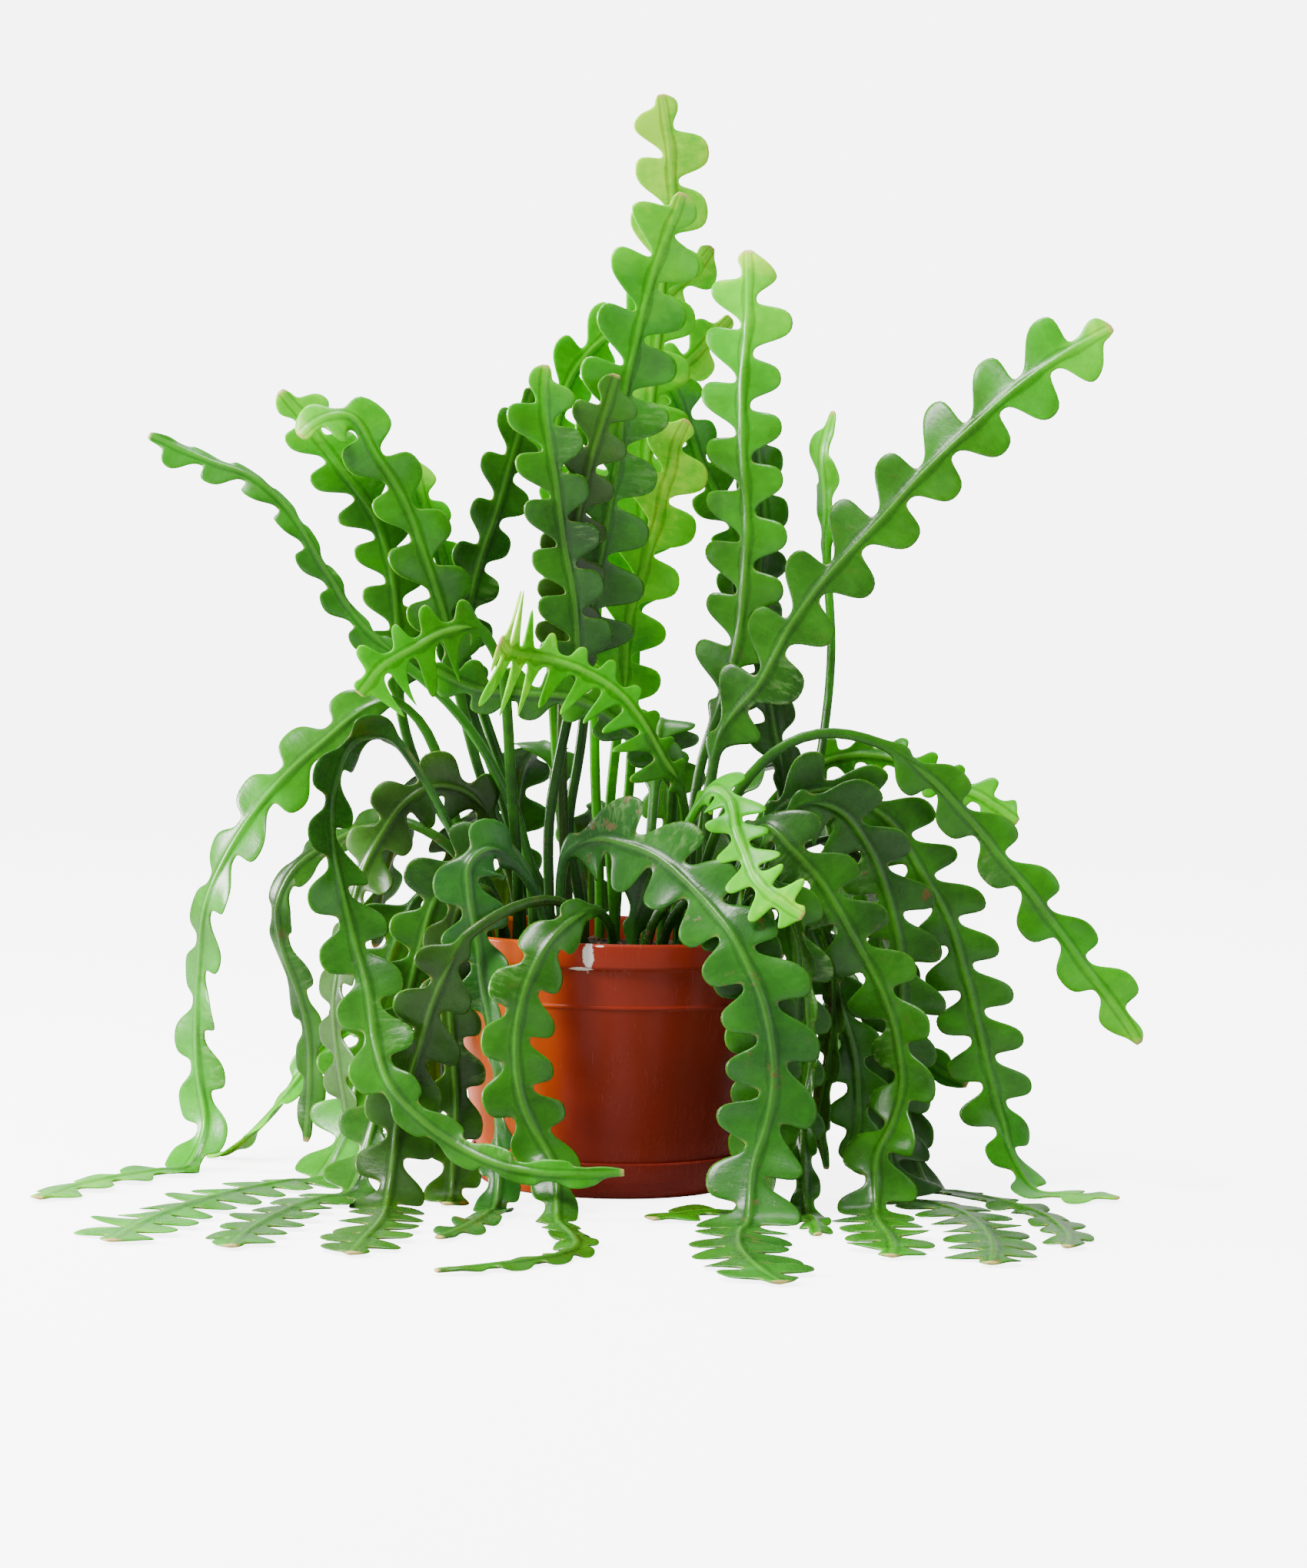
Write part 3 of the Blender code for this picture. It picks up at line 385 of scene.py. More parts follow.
def stem_material(name, streaks, rib, glow, relief, gloss):
    """A waxy skin: the shared pattern, a thin gloss and some light through the flesh."""
    material, tree, shader = new_material(name)
    skin = add_node(tree, "ShaderNodeGroup", {"node_tree": skin_group},
                    Tint=float_attribute(tree, "tint"), Streaks=streaks, Rib=rib)
    fill(tree, shader, Base_Color=skin.outputs["Color"], Roughness=skin.outputs["Roughness"],
         Normal=bump(tree, skin.outputs["Height"], relief, SKIN_RELIEF),
         Subsurface_Weight=glow, Subsurface_Radius=FLESH_RADIUS, Subsurface_Scale=FLESH_SCALE,
         Specular_IOR_Level=gloss)
    return material


mature_skin = stem_material("mature_skin", 0.10, 0.12, 0.25, 0.50, 0.32)
young_skin = stem_material("young_skin", 0.16, 0.35, 0.40, 0.30, 0.13)
print("stem materials:", mature_skin.name, young_skin.name)

# %% [markdown]
# ## Plastic of the pot and the saucer
# Both are thin moulded plastic in a terracotta colour, a little glossy, with hair-fine rubs.
# Rubs are a stretched noise, and they change the gloss far more than the colour. The left
# side of both is painted a brighter orange, which is painted light from the low lamp on the
# left. A few whitish ragged ovals on the pot's rim, cut out of a noise, are a painted
# highlight: the glare of that lamp on the rim band.


# %% Make the shared rub group
def build_rub_group():
    group, entry, leave = new_group(
        "fine_rubs",
        [("Density", FLOAT, 0.5), ("Stretch", FLOAT, 7.0)],
        [("Mask", FLOAT), ("Height", FLOAT)])
    spot = object_spot(group)
    parts = add_node(group, "ShaderNodeSeparateXYZ", None, Vector=spot).outputs
    tall = math_node(group, "DIVIDE", parts["Z"], entry.outputs["Stretch"])
    drawn = add_node(group, "ShaderNodeCombineXYZ", None, X=parts["X"], Y=parts["Y"], Z=tall)
    rubs = noise(group, drawn.outputs[0], 420.0, 3.0, 0.6, 0.2)
    patch = noise(group, spot, 26.0, 3.0, 0.5)
    mask = times(group, remap(group, rubs, 0.56, 0.72), remap(group, patch, 0.42, 0.66))
    fill(group, leave, Mask=times(group, mask, entry.outputs["Density"], clamp=True), Height=rubs)
    return group


rub_group = build_rub_group()
print("rub group nodes:", len(rub_group.nodes))

# %% Make the plastic
TERRACOTTA = (0.250, 0.024, 0.010, 1.0)
TERRACOTTA_DEEP = (0.150, 0.013, 0.008, 1.0)
# painted light: a brighter orange for the left side, where the low lamp falls
TERRACOTTA_PAINTED_LIT = (0.560, 0.080, 0.002, 1.0)
TERRACOTTA_PALE = (0.55, 0.20, 0.10, 1.0)
PAINTED_LIT_TO_X, PAINTED_LIT_FROM_X = -0.048, -0.016
# painted highlight: whitish ovals on the rim's front stand for the glare of the lamp
PAINTED_GLARE = (0.80, 0.78, 0.72, 1.0)
GLARE_DEPTH = 0.02
# x, y, z, half width and half height in metres
RIM_GLARE = ((-0.0116, -0.0852, 0.1222, 0.0030, 0.0072), (-0.0150, -0.0858, 0.1160, 0.0060, 0.0010),
            (-0.0060, -0.0865, 0.1275, 0.0022, 0.0005))


# painted highlight: ragged whitish ovals at the given places on the rim
def painted_glare_mask(tree, spot, spots):
    ragged = noise(tree, spot, 520.0, 4.0, 0.65)
    total = 0.0
    for x, y, z, wide, tall in spots:
        offset = add_node(tree, "ShaderNodeVectorMath", {"operation": "SUBTRACT"},
                          i0=spot, i1=(x, y, z)).outputs[0]
        scaled = add_node(tree, "ShaderNodeVectorMath", {"operation": "MULTIPLY"},
                          i0=offset, i1=(1.0 / wide, 1.0 / GLARE_DEPTH, 1.0 / tall)).outputs[0]
        away = add_node(tree, "ShaderNodeVectorMath", {"operation": "LENGTH"},
                        i0=scaled).outputs["Value"]
        away = times_add(tree, ragged, 1.2, math_node(tree, "SUBTRACT", away, 0.6))
        total = math_node(tree, "MAXIMUM", total, remap(tree, away, 0.75, 1.0, 0.85, 0.0))
    return total


def plastic_material(name, density, deep_share, glare_spots=()):
    material, tree, shader = new_material(name)
    spot = object_spot(tree)
    rub = add_node(tree, "ShaderNodeGroup", {"node_tree": rub_group}, Density=density).outputs
    cloud = noise(tree, spot, 9.0, 2.0, 0.5)
    sideways = add_node(tree, "ShaderNodeSeparateXYZ", None, Vector=spot).outputs["X"]
    layers = [(times(tree, remap(tree, cloud, 0.35, 0.65), deep_share), TERRACOTTA_DEEP),
              # painted light: the left side turns a brighter orange, as if lit by the lamp on the
              # left
              (remap(tree, sideways, PAINTED_LIT_TO_X, PAINTED_LIT_FROM_X, 1.0, 0.0), TERRACOTTA_PAINTED_LIT),
              (times(tree, rub["Mask"], 0.05), TERRACOTTA_PALE)]
    if glare_spots:
        layers.append((painted_glare_mask(tree, spot, glare_spots), PAINTED_GLARE))
    colour = TERRACOTTA
    for share, layer in layers:
        colour = mix_colour(tree, share, colour, layer)
    rough = times_add(tree, cloud, 0.10, times_add(tree, rub["Mask"], 0.32, 0.20))
    fill(tree, shader, Base_Color=colour, Roughness=rough, Specular_IOR_Level=0.14,
         Normal=bump(tree, rub["Height"], 0.10, 0.0002))
    return material


pot_plastic = plastic_material("pot_plastic", 0.55, 0.5, RIM_GLARE)
saucer_plastic = plastic_material("saucer_plastic", 0.75, 0.7)
print("plastic materials:", pot_plastic.name, saucer_plastic.name)

# %% [markdown]
# ## The turned pot
# The pot is moulded in one piece: a sloping wall, a thin raised line a third of the way
# down, and a broad rolled band at the rim. One outline spun about the upright axis gives all
# of it, and each corner gets a small bevel before the spin, because moulded plastic has no
# sharp corners. The steps match those of the solid model, with more of them.

# %% Repeat the pot's sizes
RIM_RADIUS = 87.0
POT_HEIGHT = 128.5
WALL = 1.7
RIM_BAND = 13.0
WALL_TOP_RADIUS = 84.4
WALL_FOOT_RADIUS = 68.7
WALL_FOOT_Z = 20.0
FLOOR_CORNER_Z = 8.0
POT_FLOOR = 3.0
RIDGE_DROP = 32.0
SAUCER_HEIGHT = 18.7
SAUCER_FLOOR = 1.8
SAUCER_FOOT_RADIUS = 62.5
GAP = 0.3
FOOT_ROUND_Z = 7.0
SPIN_STEPS = 144
SHARP = math.radians(50.0)


def wall_radius(z):
    share = (z - WALL_FOOT_Z) / (POT_HEIGHT - RIM_BAND - WALL_FOOT_Z)
    return WALL_FOOT_RADIUS + share * (WALL_TOP_RADIUS - WALL_FOOT_RADIUS)


def pot_profile():
    band_foot = POT_HEIGHT - RIM_BAND
    ridge = POT_HEIGHT - RIDGE_DROP
    foot = SAUCER_FLOOR + GAP
    inner = RIM_RADIUS - 3.2
    return [
        (0.0, foot + POT_FLOOR),
        (wall_radius(FLOOR_CORNER_Z) - WALL - 2.5, foot + POT_FLOOR),
        (wall_radius(FLOOR_CORNER_Z) - WALL, FLOOR_CORNER_Z),
        (wall_radius(WALL_FOOT_Z) - WALL, WALL_FOOT_Z),
        (wall_radius(ridge) - WALL, ridge),
        (wall_radius(band_foot) - WALL, band_foot),
        (inner, POT_HEIGHT - 2.0),
        (inner + 0.9, POT_HEIGHT),
        (RIM_RADIUS - 1.0, POT_HEIGHT),
        (RIM_RADIUS, POT_HEIGHT - 1.2),
        (RIM_RADIUS - 0.3, band_foot + 1.6),
        (RIM_RADIUS - 0.9, band_foot + 0.3),
        (WALL_TOP_RADIUS + 0.6, band_foot),
        (wall_radius(band_foot - 0.8), band_foot - 0.8),
        (wall_radius(ridge + 1.3), ridge + 1.3),
        (wall_radius(ridge) + 0.7, ridge + 0.6),
        (wall_radius(ridge) + 0.7, ridge - 0.4),
        (wall_radius(ridge - 1.1), ridge - 1.1),
        (wall_radius(WALL_FOOT_Z), WALL_FOOT_Z),
        (wall_radius(FOOT_ROUND_Z), FOOT_ROUND_Z),
        (wall_radius(FOOT_ROUND_Z) - 1.4, foot + 1.2),
        (wall_radius(FOOT_ROUND_Z) - 4.0, foot),
        (wall_radius(FOOT_ROUND_Z) - 7.0, foot),
        (wall_radius(FOOT_ROUND_Z) - 7.6, foot + 1.2),
        (0.0, foot + 1.2),
    ]


def saucer_profile():
    lip = wall_radius(SAUCER_HEIGHT) + GAP
    return [
        (0.0, SAUCER_FLOOR),
        (wall_radius(FOOT_ROUND_Z) - 2.0, SAUCER_FLOOR),
        (wall_radius(FOOT_ROUND_Z) + 0.6, 4.2),
        (wall_radius(9.0) + 0.7, 9.0),
        (lip, SAUCER_HEIGHT - 0.3),
        (lip + 0.4, SAUCER_HEIGHT),
        (lip + 1.5, SAUCER_HEIGHT),
        (lip + 1.8, SAUCER_HEIGHT - 1.0),
        (wall_radius(9.0) + 2.0, 9.0),
        (SAUCER_FOOT_RADIUS + 4.6, 4.0),
        (SAUCER_FOOT_RADIUS + 2.8, 1.2),
        (SAUCER_FOOT_RADIUS, 0.0),
        (0.0, 0.0),
    ]


def spin_profile(profile, bevel_mm=0.35):
    """An outline of (radius, height) in millimetres, its corners rounded, spun full circle."""
    shape = bmesh.new()
    corners = [shape.verts.new((r * MM, 0.0, z * MM)) for r, z in profile]
    for start, end in zip(corners, corners[1:]):
        shape.edges.new((start, end))
    bmesh.ops.bevel(shape, geom=corners[1:-1], offset=bevel_mm * MM, offset_type="OFFSET",
                    segments=3, profile=0.5, affect="VERTICES", material=-1)
    bmesh.ops.spin(shape, geom=shape.verts[:] + shape.edges[:], cent=(0.0, 0.0, 0.0),
                   axis=(0.0, 0.0, 1.0), angle=2.0 * math.pi, steps=SPIN_STEPS, use_merge=True)
    bmesh.ops.remove_doubles(shape, verts=shape.verts, dist=0.00001)
    bmesh.ops.recalc_face_normals(shape, faces=shape.faces)
    return shape


# %% [markdown]
# The rim band has a few shallow upright creases where the mould's slides met, right of the
# middle. They are pressed in by moving the band's own points, which keeps the pot one mesh.

# %% Spin the pot and the saucer
# bearing in degrees, depth in millimetres, and width
CREASES = ((-79.0, 0.30, 0.55), (-68.5, 0.35, 0.7), (-60.0, 0.25, 0.5), (-47.0, 0.3, 0.6),
           (31.0, 0.3, 0.6), (118.0, 0.3, 0.6), (203.0, 0.3, 0.6))


def press_creases(shape):
    """Pushes narrow upright lines on the band inwards."""
    low = (POT_HEIGHT - RIM_BAND + 1.0) * MM
    for vert in shape.verts:
        radius = math.hypot(vert.co.x, vert.co.y)
        if vert.co.z < low or radius < (RIM_RADIUS - 1.2) * MM:
            continue
        bearing = math.degrees(math.atan2(vert.co.y, vert.co.x)) % 360.0
        for where, depth, width in CREASES:
            off = (bearing - where + 180.0) % 360.0 - 180.0
            press = depth * math.exp(-(off / (width * 2.0)) ** 2) * MM
            vert.co.x -= vert.co.x / radius * press
            vert.co.y -= vert.co.y / radius * press


DRAIN_HOLES = 6
DRAIN_RADIUS = 4.0
DRAIN_CIRCLE = 40.0
PIN_LENGTH, PIN_MIDDLE_Z = 12.0, 4.0


def cut_drains(piece):
    """Cuts the drain holes with upright pins, then removes the pins."""
    pins = bmesh.new()
    for index in range(DRAIN_HOLES):
        angle = 2.0 * math.pi * (index + 0.5) / DRAIN_HOLES
        place = Matrix.Translation((DRAIN_CIRCLE * MM * math.cos(angle),
                                    DRAIN_CIRCLE * MM * math.sin(angle), PIN_MIDDLE_Z * MM))
        bmesh.ops.create_cone(pins, cap_ends=True, segments=24, radius1=DRAIN_RADIUS * MM,
                              radius2=DRAIN_RADIUS * MM, depth=PIN_LENGTH * MM,
                              matrix=place)
    cutter = bpy.data.objects.new("drain_pins", finished_mesh(pins, "drain_pins", False))
    bpy.context.scene.collection.objects.link(cutter)
    cut = piece.modifiers.new("drains", "BOOLEAN")
    cut.operation = "DIFFERENCE"
    cut.solver = "EXACT"
    cut.object = cutter
    ready = piece.evaluated_get(bpy.context.evaluated_depsgraph_get())
    mesh = bpy.data.meshes.new_from_object(ready)
    piece.modifiers.clear()
    piece.data = mesh
    bpy.data.objects.remove(cutter, do_unlink=True)


pot_shape = spin_profile(pot_profile())
press_creases(pot_shape)
pot = place_piece("pot_shell", finished_mesh(pot_shape, "pot_shell"), pot_plastic)
cut_drains(pot)
pot.data.set_sharp_from_angle(angle=SHARP)
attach(pot, "root")
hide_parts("pot")

saucer = place_piece("drip_saucer", finished_mesh(spin_profile(saucer_profile()), "drip_saucer"),
                     saucer_plastic)
saucer.data.set_sharp_from_angle(angle=SHARP)
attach(saucer, "root")
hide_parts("saucer")
print("pot faces:", len(pot.data.polygons), "saucer faces:", len(saucer.data.polygons))

# %% [markdown]
# ## The soil
# Potting soil is dark and crumbly, higher in the middle where the root ball has lifted it.
# The body of it is one spun mound with an uneven top. A few hundred small crumbs of bark and
# peat lie on it, each a rough lump of a few faces, because a bump in the finish alone
# would leave the top's outline smooth.


# %% Make the soil finish
def soil_material(name, dark, light, scale):
    material, tree, shader = new_material(name)
    spot = object_spot(tree)
    grain = noise(tree, spot, scale, 6.0, 0.7)
    clods = add_node(tree, "ShaderNodeTexVoronoi", None, Vector=spot, Scale=scale * 0.6)
    tone = times(tree, remap(tree, grain, 0.35, 0.75),
                 remap(tree, clods.outputs["Distance"], 0.05, 0.6))
    fill(tree, shader, Base_Color=mix_colour(tree, tone, dark, light),
         Roughness=remap(tree, grain, 0.2, 0.8, 0.95, 0.72), Specular_IOR_Level=0.12,
         Normal=bump(tree, grain, 0.9, 0.0012))
    return material


earth = soil_material("damp_soil", (0.010, 0.006, 0.004, 1.0), (0.060, 0.036, 0.022, 1.0), 260.0)
bark = soil_material("bark_crumbs", (0.022, 0.012, 0.007, 1.0), (0.150, 0.085, 0.045, 1.0), 340.0)

# %% Build the soil mound
SOIL_EDGE_Z = 113.0
SOIL_CROWN = 8.0
SOIL_RINGS = 24
LEVEL_EDGE = 79.5  # outside this radius the top stays smooth
LEVEL_FADE = 6.0
HUMMOCK_SINK = 0.4
POCKET_DEPTH = 9.0
CLEAR_RISE = 2.5


def inside(z):
    return wall_radius(z) - WALL - GAP


def soil_top(radius):
    return SOIL_EDGE_Z + SOIL_CROWN * (1.0 - (radius / inside(SOIL_EDGE_Z)) ** 2)


def soil_profile():
    rings = [inside(SOIL_EDGE_Z) * k / SOIL_RINGS for k in range(SOIL_RINGS + 1)]
    ridge = POT_HEIGHT - RIDGE_DROP
    bottom = SAUCER_FLOOR + GAP + POT_FLOOR + GAP
    return [(radius, soil_top(radius)) for radius in rings] + [
        (inside(ridge), ridge),
        (inside(WALL_FOOT_Z), WALL_FOOT_Z),
        (inside(FLOOR_CORNER_Z), FLOOR_CORNER_Z + GAP),
        (wall_radius(FLOOR_CORNER_Z) - WALL - 3.0, bottom),
        (0.0, bottom),
    ]


def hummock(x, y):
    """Height of the uneven top above the smooth mound, in millimetres."""
    return (0.9 * math.sin(x * 0.21 + 1.0) * math.cos(y * 0.17)
            + 0.6 * math.sin(x * 0.47 + y * 0.39) + 0.35 * math.sin(x * 1.1 - y * 0.9))


soil_shape = spin_profile(soil_profile(), bevel_mm=0.2)
for vert in soil_shape.verts:
    spread = math.hypot(vert.co.x, vert.co.y) / MM
    if vert.co.z > (SOIL_EDGE_Z - 0.5) * MM and spread < LEVEL_EDGE:
        fade = min(1.0, (LEVEL_EDGE - spread) / LEVEL_FADE)
        vert.co.z += fade * (hummock(vert.co.x / MM, vert.co.y / MM) - HUMMOCK_SINK) * MM
soil = place_piece("soil_mound", finished_mesh(soil_shape, "soil_mound"), earth)
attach(soil, "root")
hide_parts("soil")
print("soil faces:", len(soil.data.polygons))

# %% Scatter the crumbs
CRUMBS = 520
CRUMB_SEED = 11
CRUMB_FIELD = 78.5
CRUMB_SIZES = (0.9, 1.1, 1.3, 1.6, 2.0, 2.6)


def build_crumbs():
    """Small rough lumps, set a third of their height into the mound's top."""
    draw = random.Random(CRUMB_SEED)
    shape = bmesh.new()
    for _ in range(CRUMBS):
        radius = CRUMB_FIELD * math.sqrt(draw.random())
        bearing = draw.uniform(0.0, 2.0 * math.pi)
        x, y = radius * math.cos(bearing), radius * math.sin(bearing)
        size = draw.choice(CRUMB_SIZES)
        lump = bmesh.ops.create_icosphere(shape, subdivisions=1, radius=size * MM)["verts"]
        for vert in lump:
            vert.co *= draw.uniform(0.75, 1.15)
        stretch = (draw.uniform(0.8, 1.7), draw.uniform(0.6, 1.0), draw.uniform(0.45, 0.8))
        bmesh.ops.scale(shape, verts=lump, vec=stretch)
        turn = Matrix.Rotation(draw.uniform(0.0, 6.3), 3, "Z") @ \
            Matrix.Rotation(draw.uniform(-0.5, 0.5), 3, "X")
        bmesh.ops.rotate(shape, verts=lump, cent=(0.0, 0.0, 0.0), matrix=turn)
        lift = soil_top(radius) + hummock(x, y) * 0.7 + size * 0.15
        bmesh.ops.translate(shape, verts=lump, vec=(x * MM, y * MM, lift * MM))
    return shape


crumbs = place_piece("soil_crumbs", finished_mesh(build_crumbs(), "soil_crumbs", False), bark)
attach(crumbs, "root")
print("crumb faces:", len(crumbs.data.polygons))

# %% [markdown]
# ## The table of the stems
# Every stem is a ribbon of flesh on a rib, so it is told by its rib's route, how far its
# lobes reach from the rib and how far apart they are. A hand-drawn curve object for each
# stem would need its own profile and twist; a table keeps all of them in one place and lets
# one function build every stem. All lengths are in millimetres.
#
# A route point is (across, up, depth): a place on the upright plane through the pot's axis
# as the camera sees it, and how far behind that plane it is. A point without a depth keeps
# the depth of the one before. A floor point is (x, y), where a long stem lies on the ground.
# widths, upper and turns go along the stem, from 0 at the foot to 1 at the tip: how wide
# the whole blade or its upper side is, and how far the blade is turned about its rib in
# degrees. full makes the lobes fuller or slimmer, notch is the width left at the notches,
# and wave is how much the margins are cupped.
#
# Stems of one plant also differ a good deal in tone. The oldest are a deep, slightly blue
# green and the newest a yellow green that is nearly see-through. Stems in the shade of the
# others are painted a darker olive green, and the feet of the stems are painted darker, which
# is painted shade. skin gives the tone at the foot, a third and four fifths of the way and at
# the tip, from 0 for the darkest to 1 for the palest, partly the stem's own tone and partly
# painted shade, and hue runs from -1 for blue green to 1 for olive, the olive being painted
# shade.

